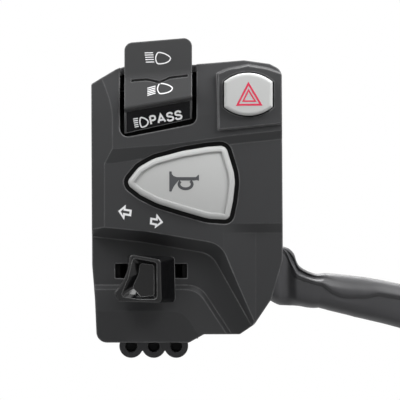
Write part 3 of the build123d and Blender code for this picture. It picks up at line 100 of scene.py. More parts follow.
class SwitchColours(bpy.types.PropertyGroup):
    """Colours of the finishes."""
    case: bpy.props.FloatVectorProperty(
        name="Case", description="Moulded case", subtype="COLOR", size=3, min=0, max=1,
        default=(0.045, 0.0455, 0.047))
    rocker: bpy.props.FloatVectorProperty(
        name="Rocker", description="Dimmer rocker", subtype="COLOR", size=3, min=0, max=1,
        default=(0.050, 0.0505, 0.0515))
    knob: bpy.props.FloatVectorProperty(
        name="Knob", description="Glossy turn signal knob", subtype="COLOR", size=3, min=0,
        max=1, default=(0.004, 0.004, 0.0045))
    passing: bpy.props.FloatVectorProperty(
        name="Passing plate", description="Dark plate at the rocker's foot", subtype="COLOR",
        size=3, min=0, max=1, default=(0.006, 0.006, 0.007))
    button: bpy.props.FloatVectorProperty(
        name="Buttons", description="Light grey horn and hazard buttons", subtype="COLOR",
        size=3, min=0, max=1, default=(0.49, 0.495, 0.49))
    rubber: bpy.props.FloatVectorProperty(
        name="Rubber", description="Boot, sheath and lead grommet", subtype="COLOR", size=3,
        min=0, max=1, default=(0.058, 0.058, 0.061))
    white: bpy.props.FloatVectorProperty(
        name="White print", description="Ink of the symbols on black", subtype="COLOR", size=3,
        min=0, max=1, default=(0.86, 0.86, 0.87))
    grey: bpy.props.FloatVectorProperty(
        name="Grey print", description="Ink of the horn symbol", subtype="COLOR", size=3, min=0,
        max=1, default=(0.055, 0.057, 0.062))
    red: bpy.props.FloatVectorProperty(
        name="Red print", description="Ink of the hazard triangle", subtype="COLOR", size=3,
        min=0, max=1, default=(0.62, 0.03, 0.08))
    connector: bpy.props.FloatVectorProperty(
        name="Connector", description="Natural connector housing", subtype="COLOR", size=3,
        min=0, max=1, default=(0.58, 0.56, 0.50))


class SwitchPrint(bpy.types.PropertyGroup):
    """Sizes of the printed symbols."""
    lift: bpy.props.FloatProperty(
        name="Lift", description="How far the ink stands proud", subtype="DISTANCE",
        unit="LENGTH", default=0.05 * MM, min=0)
    thickness: bpy.props.FloatProperty(
        name="Thickness", description="Thickness of the ink", subtype="DISTANCE", unit="LENGTH",
        default=0.09 * MM, min=0)
    step: bpy.props.FloatProperty(
        name="Step", description="Longest edge before the ink is laid on", subtype="DISTANCE",
        unit="LENGTH", default=0.8 * MM, min=0)


class SwitchHarness(bpy.types.PropertyGroup):
    """Sizes of the sheath."""
    width: bpy.props.FloatProperty(
        name="Width", description="Width of the flattened sheath", subtype="DISTANCE",
        unit="LENGTH", default=SHEATH_WIDTH, min=0)
    depth: bpy.props.FloatProperty(
        name="Depth", description="Thickness of the flattened sheath", subtype="DISTANCE",
        unit="LENGTH", default=SHEATH_DEPTH, min=0)
    length: bpy.props.FloatProperty(
        name="Length", description="Length that the sheath's route is laid out to",
        subtype="DISTANCE", unit="LENGTH", default=227.0 * MM, min=0)


class SwitchSprings(bpy.types.PropertyGroup):
    """Make of the coil springs."""
    wire_share: bpy.props.FloatProperty(
        name="Wire", description="Wire diameter as a share of a spring's outer diameter",
        default=0.085, min=0.02, max=0.2)
    sides: bpy.props.IntProperty(
        name="Sides", description="Sides of the wire", default=10, min=3)
    steps: bpy.props.IntProperty(
        name="Steps", description="Steps in each turn", default=28, min=8)


class SwitchStage(bpy.types.PropertyGroup):
    """Camera, floor and lamps."""
    distance: bpy.props.FloatProperty(
        name="Camera distance", description="From the face of the case", subtype="DISTANCE",
        unit="LENGTH", default=2.4, min=0)
    width: bpy.props.FloatProperty(
        name="View width", description="Width seen at the face", subtype="DISTANCE",
        unit="LENGTH", default=0.12, min=0)
    left: bpy.props.FloatProperty(
        name="Left lamp", description="Power of the lamp above the left edge", subtype="POWER",
        default=0.24, min=0)
    right: bpy.props.FloatProperty(
        name="Right lamp", description="Power of the lamp above the right edge",
        subtype="POWER", default=0.48, min=0)
    behind: bpy.props.FloatProperty(
        name="Rear lamp", description="Power of the lamp above and behind", subtype="POWER",
        default=6.0, min=0)
    overhead: bpy.props.FloatProperty(
        name="Overhead lamp", description="Power of the lamp straight above", subtype="POWER",
        default=6.0, min=0)
    paleness: bpy.props.FloatProperty(
        name="Floor paleness", description="Share of plain white that the camera sees in the floor",
        default=0.62, min=0, max=1)
    sky: bpy.props.FloatProperty(
        name="Sky", description="Strength of the light all round", default=0.06, min=0)


# Meshes

SMOOTH_LINE_STEPS = 4


def add_piece(name, mesh, finish_name, body, smooth=True):
    """Makes an object of a bmesh, gives it its finish and lets it ride on a body."""
    material = finish(finish_name)
    data = bpy.data.meshes.new(name)
    bmesh.ops.recalc_face_normals(mesh, faces=mesh.faces)
    mesh.to_mesh(data)
    mesh.free()
    for face in data.polygons:
        face.use_smooth = smooth
    piece = bpy.data.objects.new(name, data)
    bpy.context.scene.collection.objects.link(piece)
    data.materials.append(material)
    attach(piece, body)
    return piece


def skin(rings):
    """Tube through rings of as many points each, its two ends shaded apart from its side."""
    mesh = bmesh.new()
    rows = [[mesh.verts.new(point) for point in ring] for ring in rings]
    count = len(rows[0])
    for low, high in zip(rows, rows[1:]):
        for i in range(count):
            j = (i + 1) % count
            mesh.faces.new((low[i], low[j], high[j], high[i]))
    for end in (rings[0][::-1], rings[-1]):
        mesh.faces.new([mesh.verts.new(point) for point in end])
    return mesh


def smooth_between(a, b, c, d, t):
    """Point between b and c on a smooth line through four points."""
    return tuple(
        0.5 * (2 * q + (r - p) * t + (2 * p - 5 * q + 4 * r - u) * t ** 2
               + (3 * q - p - 3 * r + u) * t ** 3)
        for p, q, r, u in zip(a, b, c, d)
    )


def smooth_line(points, steps, closed):
    """Smooth line through points, which may have any number of coordinates."""
    count = len(points)
    spans = count if closed else count - 1
    line = []
    for i in range(spans):
        near = [
            points[(i + k) % count] if closed else points[min(max(i + k, 0), count - 1)]
            for k in (-1, 0, 1, 2)
        ]
        line += [smooth_between(*near, s / steps) for s in range(steps)]
    if not closed:
        line.append(tuple(points[-1]))
    return line


def table_at(table, place):
    """Values between the rows of a table that starts with the place."""
    if place <= table[0][0]:
        return table[0][1:]
    for low, high in zip(table, table[1:]):
        if place <= high[0]:
            share = (place - low[0]) / (high[0] - low[0])
            share = share * share * (3 - 2 * share)
            return tuple(a + (b - a) * share for a, b in zip(low[1:], high[1:]))
    return table[-1][1:]


# Prints: flat shapes in X and Z that are laid on a node's front

SHARPEST_MITRE = 0.45
SHORTEST_STEP = 1e-9
WELD = 0.01 * MM
MOST_CUTS = 6
RAY_START_Y = -0.2


def pixel(x, y):
    """Place on the front that a pixel of the view shows."""
    return ((x - BAR_PX[0]) * PIXEL, (BAR_PX[1] - y) * PIXEL)


def pixels(points):
    return [pixel(x, y) for x, y in points]


def leaned(x, z, corner, turn):
    """Point turned about the origin and moved to a corner."""
    return (corner[0] + x * math.cos(turn) - z * math.sin(turn),
            corner[1] + x * math.sin(turn) + z * math.cos(turn))


def stroke(points, width, closed=False):
    """Quads of a line with mitred joints."""
    count = len(points)
    sides = []
    for i, (x, z) in enumerate(points):
        before = points[i - 1] if i or closed else points[0]
        after = points[(i + 1) % count] if i < count - 1 or closed else points[-1]
        ways = []
        for start, end in ((before, (x, z)), ((x, z), after)):
            way = Vector((end[0] - start[0], end[1] - start[1]))
            if way.length > SHORTEST_STEP:
                ways.append(way.normalized())
        mean = (ways[0] + ways[-1]).normalized()
        normal = Vector((-mean.y, mean.x))
        reach = width / 2 / max(SHARPEST_MITRE, abs(mean.dot(ways[0])))
        sides.append(((x + normal.x * reach, z + normal.y * reach),
                      (x - normal.x * reach, z - normal.y * reach)))
    last = count if closed else count - 1
    return [
        (sides[i][0], sides[(i + 1) % count][0], sides[(i + 1) % count][1], sides[i][1])
        for i in range(last)
    ]


def filled(points):
    """Triangles of a filled outline."""
    flat = [Vector((x, z, 0)) for x, z in points]
    return [
        tuple((flat[i].x, flat[i].y) for i in triangle) for triangle in tessellate_polygon([flat])
    ]


def lay_on(name, faces, node_name, finish_name, body):
    """Ink of some faces, laid on the front of a node."""
    ink = bpy.context.scene.switch_print
    source = frame["nodes"][node_name].data
    tree = BVHTree.FromPolygons(
        [v.co.copy() for v in source.vertices], [tuple(p.vertices) for p in source.polygons])
    mesh = bmesh.new()
    for face in faces:
        mesh.faces.new([mesh.verts.new((x, 0, z)) for x, z in face])
    bmesh.ops.remove_doubles(mesh, verts=mesh.verts, dist=WELD)
    for _ in range(MOST_CUTS):
        long_edges = [e for e in mesh.edges if e.calc_length() > ink.step]
        if not long_edges:
            break
        bmesh.ops.subdivide_edges(mesh, edges=long_edges, cuts=1, use_grid_fill=True)
    bmesh.ops.triangulate(mesh, faces=mesh.faces)
    for vert in mesh.verts:
        hit = tree.ray_cast(Vector((vert.co.x, RAY_START_Y, vert.co.z)), -FACING)[0]
        if hit is None:
            raise RuntimeError(f"{name} misses {node_name} at {tuple(vert.co)}")
        vert.co = hit + FACING * ink.lift
    for face in mesh.faces:
        if face.normal.dot(FACING) < 0:
            face.normal_flip()
    shell = bmesh.ops.extrude_face_region(mesh, geom=list(mesh.faces))
    for item in shell["geom"]:
        if isinstance(item, bmesh.types.BMVert):
            item.co -= FACING * ink.thickness
    return add_piece(name, mesh, finish_name, body, smooth=False)


# Materials

BROAD_PATCHES_PER_METRE = 55.0
SPECK_SHARE = 0.5
# Patches in which the painted edge highlight shows
HIGHLIGHT_PATCHES_PER_METRE = 260.0
EDGE_GAIN = 14.0
STREAKS_PER_METRE = 2600.0
STREAK_STRETCH = (1.0, 0.08, 1.0)
STREAK_IN_ROUGHNESS = 0.2
GRAIN_DEPTH = 0.1 * MM
STREAK_DEPTH = 0.05 * MM
STREAK_BUMP = 0.05
EDGE_SAMPLES = 6


def group(name, inputs, outputs):
    """New shader group with its named sockets."""
    tree = bpy.data.node_groups.new(name, "ShaderNodeTree")
    for label, kind, default in inputs:
        socket = tree.interface.new_socket(label, in_out="INPUT", socket_type=kind)
        if default is not None:
            socket.default_value = default
    for label, kind in outputs:
        tree.interface.new_socket(label, in_out="OUTPUT", socket_type=kind)
    return tree, tree.nodes.new("NodeGroupInput"), tree.nodes.new("NodeGroupOutput")


def node(tree, kind, **values):
    """Node whose properties, or inputs by name, are set."""
    made = tree.nodes.new(kind)
    for key, value in values.items():
        if hasattr(made, key):
            setattr(made, key, value)
        else:
            made.inputs[key.replace("_", " ")].default_value = value
    return made


def maths(tree, operation, *values):
    """Result of a sum on numbers and sockets."""
    made = node(tree, "ShaderNodeMath", operation=operation)
    for socket, value in zip(made.inputs, values):
        if isinstance(value, (int, float)):
            socket.default_value = value
        else:
            tree.links.new(value, socket)
    return made.outputs[0]


def tinted(tree, colour, level):
    """Colour made lighter or darker by a level."""
    tint = node(tree, "ShaderNodeVectorMath", operation="SCALE")
    tree.links.new(colour, tint.inputs[0])
    tree.links.new(level, tint.inputs["Scale"])
    return tint.outputs["Vector"]


def moulded_grain(name):
    """Fine spark-eroded grain with a soft unevenness in colour and shine."""
    tree, given, out = group(
        name,
        [("Colour", "NodeSocketColor", None), ("Variation", "NodeSocketFloat", 0.1),
         ("Grain per metre", "NodeSocketFloat", 4000.0), ("Roughness", "NodeSocketFloat", 0.5),
         ("Roughness spread", "NodeSocketFloat", 0.08)],
        [("Colour", "NodeSocketColor"), ("Roughness", "NodeSocketFloat"),
         ("Height", "NodeSocketFloat")],
    )
    place = tree.nodes.new("ShaderNodeTexCoord").outputs["Object"]
    broad = node(tree, "ShaderNodeTexNoise", Scale=BROAD_PATCHES_PER_METRE, Detail=3.0,
                 Roughness=0.5)
    fine = node(tree, "ShaderNodeTexNoise", Detail=2.0, Roughness=0.6)
    tree.links.new(place, broad.inputs["Vector"])
    tree.links.new(place, fine.inputs["Vector"])
    tree.links.new(given.outputs["Grain per metre"], fine.inputs["Scale"])
    swing = maths(tree, "SUBTRACT", broad.outputs["Fac"], 0.5)
    speck = maths(tree, "MULTIPLY", maths(tree, "SUBTRACT", fine.outputs["Fac"], 0.5), SPECK_SHARE)
    mixed = maths(tree, "ADD", swing, speck)
    level = maths(tree, "ADD", maths(tree, "MULTIPLY", mixed, given.outputs["Variation"]), 1.0)
    rough = maths(tree, "ADD", given.outputs["Roughness"],
                  maths(tree, "MULTIPLY", mixed, given.outputs["Roughness spread"]))
    tree.links.new(tinted(tree, given.outputs["Colour"], level), out.inputs["Colour"])
    tree.links.new(rough, out.inputs["Roughness"])
    tree.links.new(fine.outputs["Fac"], out.inputs["Height"])
    return tree


def painted_edge_highlights(name):
    """Painted highlight: lightens the places where the rounded normal leaves the flat one, in
    patches, so that edges look lit.
    """
    tree, given, out = group(
        name,
        [("Colour", "NodeSocketColor", None), ("Edge colour", "NodeSocketColor", None),
         ("Amount", "NodeSocketFloat", 0.4), ("Rounded normal", "NodeSocketVector", None)],
        [("Colour", "NodeSocketColor")],
    )
    flat = tree.nodes.new("ShaderNodeNewGeometry").outputs["Normal"]
    dot = node(tree, "ShaderNodeVectorMath", operation="DOT_PRODUCT")
    tree.links.new(flat, dot.inputs[0])
    tree.links.new(given.outputs["Rounded normal"], dot.inputs[1])
    bend = maths(tree, "MULTIPLY", maths(tree, "SUBTRACT", 1.0, dot.outputs["Value"]), EDGE_GAIN)
    place = tree.nodes.new("ShaderNodeTexCoord").outputs["Object"]
    patch = node(tree, "ShaderNodeTexNoise", Scale=HIGHLIGHT_PATCHES_PER_METRE, Detail=4.0)
    tree.links.new(place, patch.inputs["Vector"])
    mask = maths(tree, "MULTIPLY", maths(tree, "MINIMUM", bend, 1.0), patch.outputs["Fac"])
    share = maths(tree, "MULTIPLY", mask, given.outputs["Amount"])
    blend = node(tree, "ShaderNodeMix", data_type="RGBA")
    colours = [socket for socket in blend.inputs if socket.type == "RGBA"]
    tree.links.new(share, blend.inputs[0])
    tree.links.new(given.outputs["Colour"], colours[0])
    tree.links.new(given.outputs["Edge colour"], colours[1])
    blended = [socket for socket in blend.outputs if socket.type == "RGBA"][0]
    tree.links.new(blended, out.inputs["Colour"])
    return tree


def drawn_metal(name):
    """Fine streaks of drawn or rolled metal."""
    tree, given, out = group(
        name,
        [("Colour", "NodeSocketColor", None), ("Streak", "NodeSocketFloat", 0.15),
         ("Roughness", "NodeSocketFloat", 0.35)],
        [("Colour", "NodeSocketColor"), ("Roughness", "NodeSocketFloat"),
         ("Height", "NodeSocketFloat")],
    )
    place = tree.nodes.new("ShaderNodeTexCoord").outputs["Object"]
    stretch = node(tree, "ShaderNodeMapping", Scale=STREAK_STRETCH)
    tree.links.new(place, stretch.inputs["Vector"])
    streaks = node(tree, "ShaderNodeTexNoise", Scale=STREAKS_PER_METRE, Detail=3.0)
    tree.links.new(stretch.outputs["Vector"], streaks.inputs["Vector"])
    swing = maths(tree, "SUBTRACT", streaks.outputs["Fac"], 0.5)
    level = maths(tree, "ADD", maths(tree, "MULTIPLY", swing, given.outputs["Streak"]), 1.0)
    rough = maths(tree, "ADD", given.outputs["Roughness"],
                  maths(tree, "MULTIPLY", swing, STREAK_IN_ROUGHNESS))
    tree.links.new(tinted(tree, given.outputs["Colour"], level), out.inputs["Colour"])
    tree.links.new(rough, out.inputs["Roughness"])
    tree.links.new(streaks.outputs["Fac"], out.inputs["Height"])
    return tree


def placed_group(tree, name, maker, values):
    """Shader group in a material, with its own values. It is made when it is first used."""
    made = tree.nodes.new("ShaderNodeGroup")
    made.node_tree = bpy.data.node_groups.get(name) or maker(name)
    for label, value in values.items():
        made.inputs[label].default_value = value
    return made


def moulding(name, colour, roughness, variation, grain, spread=0.1, bump=0.02, rounding=0.0,
             highlight_colour=None, highlight_amount=0.0, specular=0.5):
    """Moulded plastic or rubber with grain, soft edges and a painted highlight along them."""
    material = bpy.data.materials.new(name)
    material.use_nodes = True
    tree = material.node_tree
    shader = tree.nodes["Principled BSDF"]
    shader.inputs["Specular IOR Level"].default_value = specular
    grained = placed_group(tree, "Moulded grain", moulded_grain, {
        "Colour": (*colour, 1.0), "Variation": variation, "Grain per metre": grain,
        "Roughness": roughness, "Roughness spread": spread,
    })
    tree.links.new(grained.outputs["Roughness"], shader.inputs["Roughness"])
    relief = node(tree, "ShaderNodeBump", Strength=bump, Distance=GRAIN_DEPTH)
    tree.links.new(grained.outputs["Height"], relief.inputs["Height"])
    tree.links.new(relief.outputs["Normal"], shader.inputs["Normal"])
    seen_colour = grained.outputs["Colour"]
    if rounding:
        rounded = node(tree, "ShaderNodeBevel", samples=EDGE_SAMPLES, Radius=rounding)
        tree.links.new(rounded.outputs["Normal"], relief.inputs["Normal"])
        if highlight_colour:
            # Painted highlight: the edges are lightened in colour, so they stay light under any
            # lamp
            edge_highlight = placed_group(tree, "Rubbed edges", painted_edge_highlights, {
                "Edge colour": (*highlight_colour, 1.0), "Amount": highlight_amount,
            })
            tree.links.new(seen_colour, edge_highlight.inputs["Colour"])
            tree.links.new(rounded.outputs["Normal"], edge_highlight.inputs["Rounded normal"])
            seen_colour = edge_highlight.outputs["Colour"]
    tree.links.new(seen_colour, shader.inputs["Base Color"])
    return material


def metal(name, colour, roughness, streak=0.15):
    """Drawn or rolled metal."""
    material = bpy.data.materials.new(name)
    material.use_nodes = True
    tree = material.node_tree
    shader = tree.nodes["Principled BSDF"]
    shader.inputs["Metallic"].default_value = 1.0
    drawn = placed_group(tree, "Drawn metal", drawn_metal, {
        "Colour": (*colour, 1.0), "Streak": streak, "Roughness": roughness,
    })
    relief = node(tree, "ShaderNodeBump", Strength=STREAK_BUMP, Distance=STREAK_DEPTH)
    tree.links.new(drawn.outputs["Height"], relief.inputs["Height"])
    tree.links.new(relief.outputs["Normal"], shader.inputs["Normal"])
    tree.links.new(drawn.outputs["Colour"], shader.inputs["Base Color"])
    tree.links.new(drawn.outputs["Roughness"], shader.inputs["Roughness"])
    return material


# Plastics and rubbers. A colour is one of the settings, by its name, or is given here. The lighter
# edge colours are painted highlights along the edges.
MOULDINGS = {
    "Grained case": dict(
        colour="case", roughness=0.40, variation=0.16, grain=5200.0, spread=0.14, bump=0.10,
        rounding=0.7 * MM, highlight_colour=(0.30, 0.30, 0.305), highlight_amount=1.0, specular=0.15),
    "Grained rocker": dict(
        colour="rocker", roughness=0.36, variation=0.16, grain=5200.0, spread=0.14, bump=0.08,
        rounding=0.5 * MM, highlight_colour=(0.26, 0.26, 0.265), highlight_amount=1.0, specular=0.2),
    "Glossy knob": dict(
        colour="knob", roughness=0.13, variation=0.1, grain=900.0, spread=0.06, bump=0.01,
        rounding=0.45 * MM, highlight_colour=(0.36, 0.36, 0.36), highlight_amount=1.0, specular=0.3),
    "Dark passing plate": dict(
        colour="passing", roughness=0.18, variation=0.1, grain=1500.0, spread=0.08, bump=0.01,
        rounding=0.3 * MM, specular=0.2),
    "Grey button": dict(
        colour="button", roughness=0.36, variation=0.05, grain=3800.0, spread=0.08, bump=0.03,
        rounding=0.5 * MM, highlight_colour=(0.6, 0.6, 0.6), highlight_amount=0.3),
    "Inner plastic": dict(
        colour=(0.008, 0.008, 0.0085), roughness=0.5, variation=0.1, grain=3000.0, bump=0.04,
        specular=0.2),
    "Slider plastic": dict(
        colour=(0.6, 0.58, 0.53), roughness=0.42, variation=0.06, grain=3000.0, spread=0.08),
    "Rubber": dict(
        colour="rubber", roughness=0.46, variation=0.2, grain=2600.0, spread=0.16, bump=0.05,
        rounding=0.4 * MM, highlight_colour=(0.22, 0.22, 0.22), highlight_amount=0.7, specular=0.25),
    "Sheath vinyl": dict(
        colour="rubber", roughness=0.44, variation=0.2, grain=1800.0, spread=0.16, bump=0.04,
        specular=0.25),
    "Lead insulation": dict(
        colour=(0.03, 0.03, 0.034), roughness=0.34, variation=0.15, grain=2200.0),
    "Connector plastic": dict(
        colour="connector", roughness=0.4, variation=0.08, grain=2600.0, spread=0.08,
        rounding=0.3 * MM, highlight_colour=(0.7, 0.68, 0.62), highlight_amount=0.3),
    "White ink": dict(
        colour="white", roughness=0.45, variation=0.04, grain=6000.0, spread=0.05, bump=0.01),
    "Grey ink": dict(
        colour="grey", roughness=0.5, variation=0.06, grain=6000.0, spread=0.05, bump=0.01),
    "Red ink": dict(
        colour="red", roughness=0.45, variation=0.06, grain=6000.0, spread=0.05, bump=0.01),
}
METALS = {
    "Zinc steel": dict(colour=(0.52, 0.52, 0.54), roughness=0.34),
    "Spring steel": dict(colour=(0.42, 0.42, 0.43), roughness=0.28, streak=0.2),
    "Contact brass": dict(colour=(0.75, 0.55, 0.24), roughness=0.3),
}
SLOT_FINISH = {
    "case_plastic": "Grained case", "knob_plastic": "Glossy knob",
    "passing_plastic": "Dark passing plate", "grey_plastic": "Grey button",
    "inner_plastic": "Inner plastic", "slider_plastic": "Slider plastic",
    "boot_rubber": "Rubber", "sheath_vinyl": "Sheath vinyl",
    "wire_insulation": "Lead insulation", "connector_plastic": "Connector plastic",
    "screw_steel": "Zinc steel", "spring_steel": "Spring steel",
    "contact_brass": "Contact brass", "strap_steel": "Zinc steel",
}
NODE_FINISH = {"dimmer_rocker": "Grained rocker"}


def finish(name):
    """Material by its name, made when it is first used."""
    made = bpy.data.materials.get(name)
    if made:
        return made
    if name in METALS:
        return metal(name, **METALS[name])
    values = dict(MOULDINGS[name])
    if isinstance(values["colour"], str):
        values["colour"] = getattr(bpy.context.scene.switch_colours, values["colour"])
    return moulding(name, **values)


# The sheath's route from the boot to the pigtail
SHEATH_ROUTE = [
    (0.040896, 0.0055008, -0.045504), (0.0543, 0.0055008, -0.0476986),
    (0.0717984, 0.00499968, -0.0518976), (0.0892973, 0.00449856, -0.0615974),
    (0.103697, 0.00399744, -0.076199), (0.113501, 0.0033984, -0.0947981),
    (0.1185, 0.00259776, -0.118299), (0.119601, 0.00179712, -0.150301),
    (0.118201, 0.00199872, -0.190299), (0.118201, 0.00199872, -0.228298),
]
ROUTE_ORDER = 3
ROUTE_STEPS = 16

# Sheath: distance along it, half width, half depth, fold as a share of the width, and how deep
# its groove is; millimetres
SHEATH_SECTIONS = [
    (0.0, 5.35, 4.05, 0.63, 0.4), (3.0, 5.65, 4.1, 0.49, 0.1), (5.6, 5.85, 4.1, 0.43, 0.0),
    (8.5, 6.0, 4.1, 0.44, 0.0), (11.8, 6.25, 4.1, 0.49, 0.0), (18.2, 6.4, 4.1, 0.63, 0.0),
    (24.0, 6.5, 4.1, 0.65, 0.0), (60.0, 6.3, 4.1, 0.60, 0.0), (110.0, 6.1, 4.1, 0.55, 0.0),
    (170.0, 6.0, 4.1, 0.5, 0.0), (222.0, 5.9, 4.0, 0.5, 0.0),
]

# Boot: place along X, top, bottom, fold, half depth, and how deep the groove is; millimetres
BOOT_RINGS = [
    (20.4, -37.4, -45.0, -38.4, 3.8, 0.0), (22.4, -37.4, -45.0, -38.4, 3.8, 0.0),
    (22.7, -35.4, -46.2, -37.0, 4.2, 0.0), (24.0, -33.4, -47.4, -35.2, 4.6, 0.0),
    (25.3, -32.8, -48.6, -34.5, 4.9, 0.0), (27.6, -32.4, -49.8, -34.0, 4.6, 0.2),
    (28.9, -32.2, -50.0, -33.9, 3.6, 0.4), (30.2, -32.5, -50.05, -35.2, 3.0, 0.6),
    (31.1, -32.9, -50.1, -37.4, 3.1, 0.8), (32.1, -33.8, -50.1, -40.0, 3.8, 1.0),
    (32.7, -34.8, -50.15, -41.0, 4.2, 1.0), (33.3, -36.7, -50.2, -41.6, 4.4, 1.0),
    (34.3, -38.2, -50.3, -42.1, 4.4, 1.0), (36.6, -39.7, -50.7, -42.9, 4.3, 1.0),
    (38.8, -40.4, -50.9, -43.6, 4.2, 0.7), (40.896, -40.154, -50.854, -44.113, 4.05, 0.4),
]
# Place along X, in millimetres, where the boot's rings start to turn square to the sheath
BOOT_BEND = 35.0


def soft_section(top, bottom, fold, half_depth, groove):
    """Section of a soft tube that is folded along its front: pairs of depth and height."""
    height = top - bottom
    upper = top - fold
    points = [
        (0.0, bottom), (-0.66, bottom + 0.09 * height), (-0.87, bottom + 0.26 * height),
        (-0.88, fold - 0.09 * height), (-0.85, fold - 0.01 * height),
        (-1.0, fold + 0.06 * height), (-0.93, fold + 0.36 * upper),
        (-0.70 + 0.24 * groove, fold + 0.60 * upper),
        (-0.46 - 0.10 * groove, fold + 0.84 * upper), (0.02, top), (0.58, top - 0.11 * height),
        (0.93, top - 0.33 * height), (1.0, bottom + 0.40 * height),
        (0.70, bottom + 0.11 * height),
    ]
    return smooth_line(
        [(depth * half_depth, level) for depth, level in points], SMOOTH_LINE_STEPS, True)


# Coil springs: node, axis, turns, the joint that shortens it with its travel in millimetres, and
# the body that carries it
SPRINGS = [
    ("horn_spring", FORWARDS, 4.5, "horn_press", 2.2, "housing"),
    ("hazard_spring", FORWARDS, 3.5, "hazard_press", 2.4, "housing"),
    ("cancel_spring", FORWARDS, 3.0, "turn_cancel", 1.2, "turn_lever"),
    ("plunger_spring", FORWARDS, 6.0, None, 0.0, "dimmer"),
    ("detent_spring", UPWARDS, 4.0, None, 0.0, "turn_lever"),
]
COIL_CROWDING = 0.055


# Symbols. Places are pixels of the view, sizes and widths of lines are metres, leans are
# degrees, and a lamp's rays are pairs of places

LAMP_SHARES = [
    (-0.34, 0.49), (-0.10, 0.48), (0.20, 0.34), (0.43, 0.14), (0.50, -0.04), (0.40, -0.27),
    (0.16, -0.43), (-0.12, -0.50), (-0.36, -0.49), (-0.46, -0.28), (-0.50, -0.02), (-0.45, 0.26),
]
HIGH_BEAM = dict(
    centre=(163.0, 58.0), width=4.45 * MM, height=3.35 * MM, lean=0.0, line=0.34 * MM,
    ray_line=0.30 * MM,
    rays=[((144.6, 52.8), (153.0, 52.6)), ((144.9, 55.0), (153.4, 54.8)),
          ((145.2, 57.2), (153.6, 57.0)), ((145.4, 59.5), (153.9, 59.3)),
          ((145.6, 62.0), (154.2, 61.8))],
)
LOW_BEAM = dict(
    centre=(164.9, 88.3), width=4.45 * MM, height=3.0 * MM, lean=3.0, line=0.34 * MM,
    ray_line=0.28 * MM,
    rays=[((147.4, 88.2), (155.4, 86.0)), ((147.4, 90.1), (155.4, 87.9)),
          ((147.4, 91.9), (155.4, 89.7)), ((147.4, 93.6), (155.4, 91.4)),
          ((147.4, 95.4), (155.4, 93.1))],
)
PASSING_LAMP = dict(
    centre=(143.9, 122.0), width=2.45 * MM, height=2.85 * MM, lean=8.0, line=0.42 * MM,
    ray_line=0.34 * MM,
    rays=[((133.2, 119.0), (138.0, 118.2)), ((133.4, 121.0), (137.9, 120.2)),
          ((133.8, 123.0), (138.0, 122.2)), ((134.2, 125.1), (138.2, 124.3)),
          ((134.7, 127.0), (138.7, 126.2))],
)
PASSING_WORD = dict(
    text="PASS", start=(151.2, 124.1), height=2.34 * MM, lean=10.5, line=0.56 * MM,
    gap=0.74 * MM,
)
# Letters: width as a share of the height, and their lines in shares of width and height
GLYPH_STEPS = 3
GLYPHS = {
    "P": (0.63, [
        [(0.0, 0.0), (0.0, 1.0)],
        smooth_line([(0.0, 1.0), (0.60, 1.0), (0.92, 0.93), (1.0, 0.74), (0.92, 0.54),
                     (0.60, 0.46), (0.0, 0.46)], GLYPH_STEPS, False),
    ]),
    "A": (0.90, [[(0.0, 0.0), (0.5, 1.0), (1.0, 0.0)], [(0.20, 0.30), (0.80, 0.30)]]),
    "S": (0.76, [
        smooth_line([(0.96, 0.76), (0.82, 0.94), (0.50, 1.0), (0.17, 0.93), (0.05, 0.75),
                     (0.17, 0.59), (0.50, 0.52), (0.86, 0.43), (1.0, 0.26), (0.86, 0.07),
                     (0.50, 0.0), (0.15, 0.06), (0.0, 0.25)], GLYPH_STEPS, False),
    ]),
}
# Triangles and arrows: corners, and the width of the line
HAZARD_TRIANGLES = [
    ([(248.4, 83.7), (260.9, 104.7), (237.5, 104.9)], 0.56 * MM),
    ([(248.5, 90.2), (255.2, 101.2), (243.1, 101.2)], 0.42 * MM),
]
LEFT_ARROW = [
    (119.4, 211.2), (124.7, 206.7), (124.4, 209.6), (130.6, 210.7), (130.1, 215.2),
    (123.9, 214.1), (123.5, 217.9),
]
RIGHT_ARROW = [
    (161.8, 222.1), (157.2, 215.9), (156.8, 219.6), (151.3, 218.7), (150.8, 223.5),
    (156.3, 224.6), (155.9, 226.5),
]
ARROW_LINE = 0.62 * MM
HORN_OUTLINE = [
    (169.3, 171.4), (171.6, 171.4), (171.8, 174.0), (173.6, 176.0), (177.1, 177.1),
    (195.6, 177.1), (197.0, 176.2), (198.1, 174.8), (199.0, 174.8), (199.0, 180.6),
    (198.1, 180.6), (196.8, 180.0), (194.6, 180.5), (178.6, 180.5), (176.9, 182.4),
    (175.4, 184.2), (173.4, 187.2), (171.8, 190.6), (171.6, 191.4), (169.3, 191.4),
]
HORN_LOOP_CENTRE = (185.6, 184.2)
HORN_LOOP_RADII = (6.6, 4.6)
HORN_LOOP_ANGLES = range(-44, 225, 12)
HORN_LOOP_LINE = 0.86 * MM


def lamp_symbol(centre, width, height, lean, line, rays, ray_line):
    """Headlamp, round to the right and flatter at the left, with its rays."""
    start = pixel(*centre)
    turn = math.radians(lean)
    outline = [leaned(x * width, z * height, start, turn) for x, z in LAMP_SHARES]
    faces = stroke(smooth_line(outline, SMOOTH_LINE_STEPS, True), line, True)
    for ray in rays:
        faces += stroke(pixels(ray), ray_line)
    return faces


def letters(text, start, height, lean, line, gap):
    """Upright letters made of strokes, from the lower left corner of the first."""
    corner = pixel(*start)
    turn = math.radians(lean)
    faces = []
    along = 0.0
    for letter in text:
        spread, lines = GLYPHS[letter]
        for points in lines:
            faces += stroke([
                leaned(along + x * spread * height, z * height, corner, turn) for x, z in points
            ], line)
        along += spread * height + gap
    return faces


# Stage: the floor, and the lamps with the setting of each one's power, its place and its size

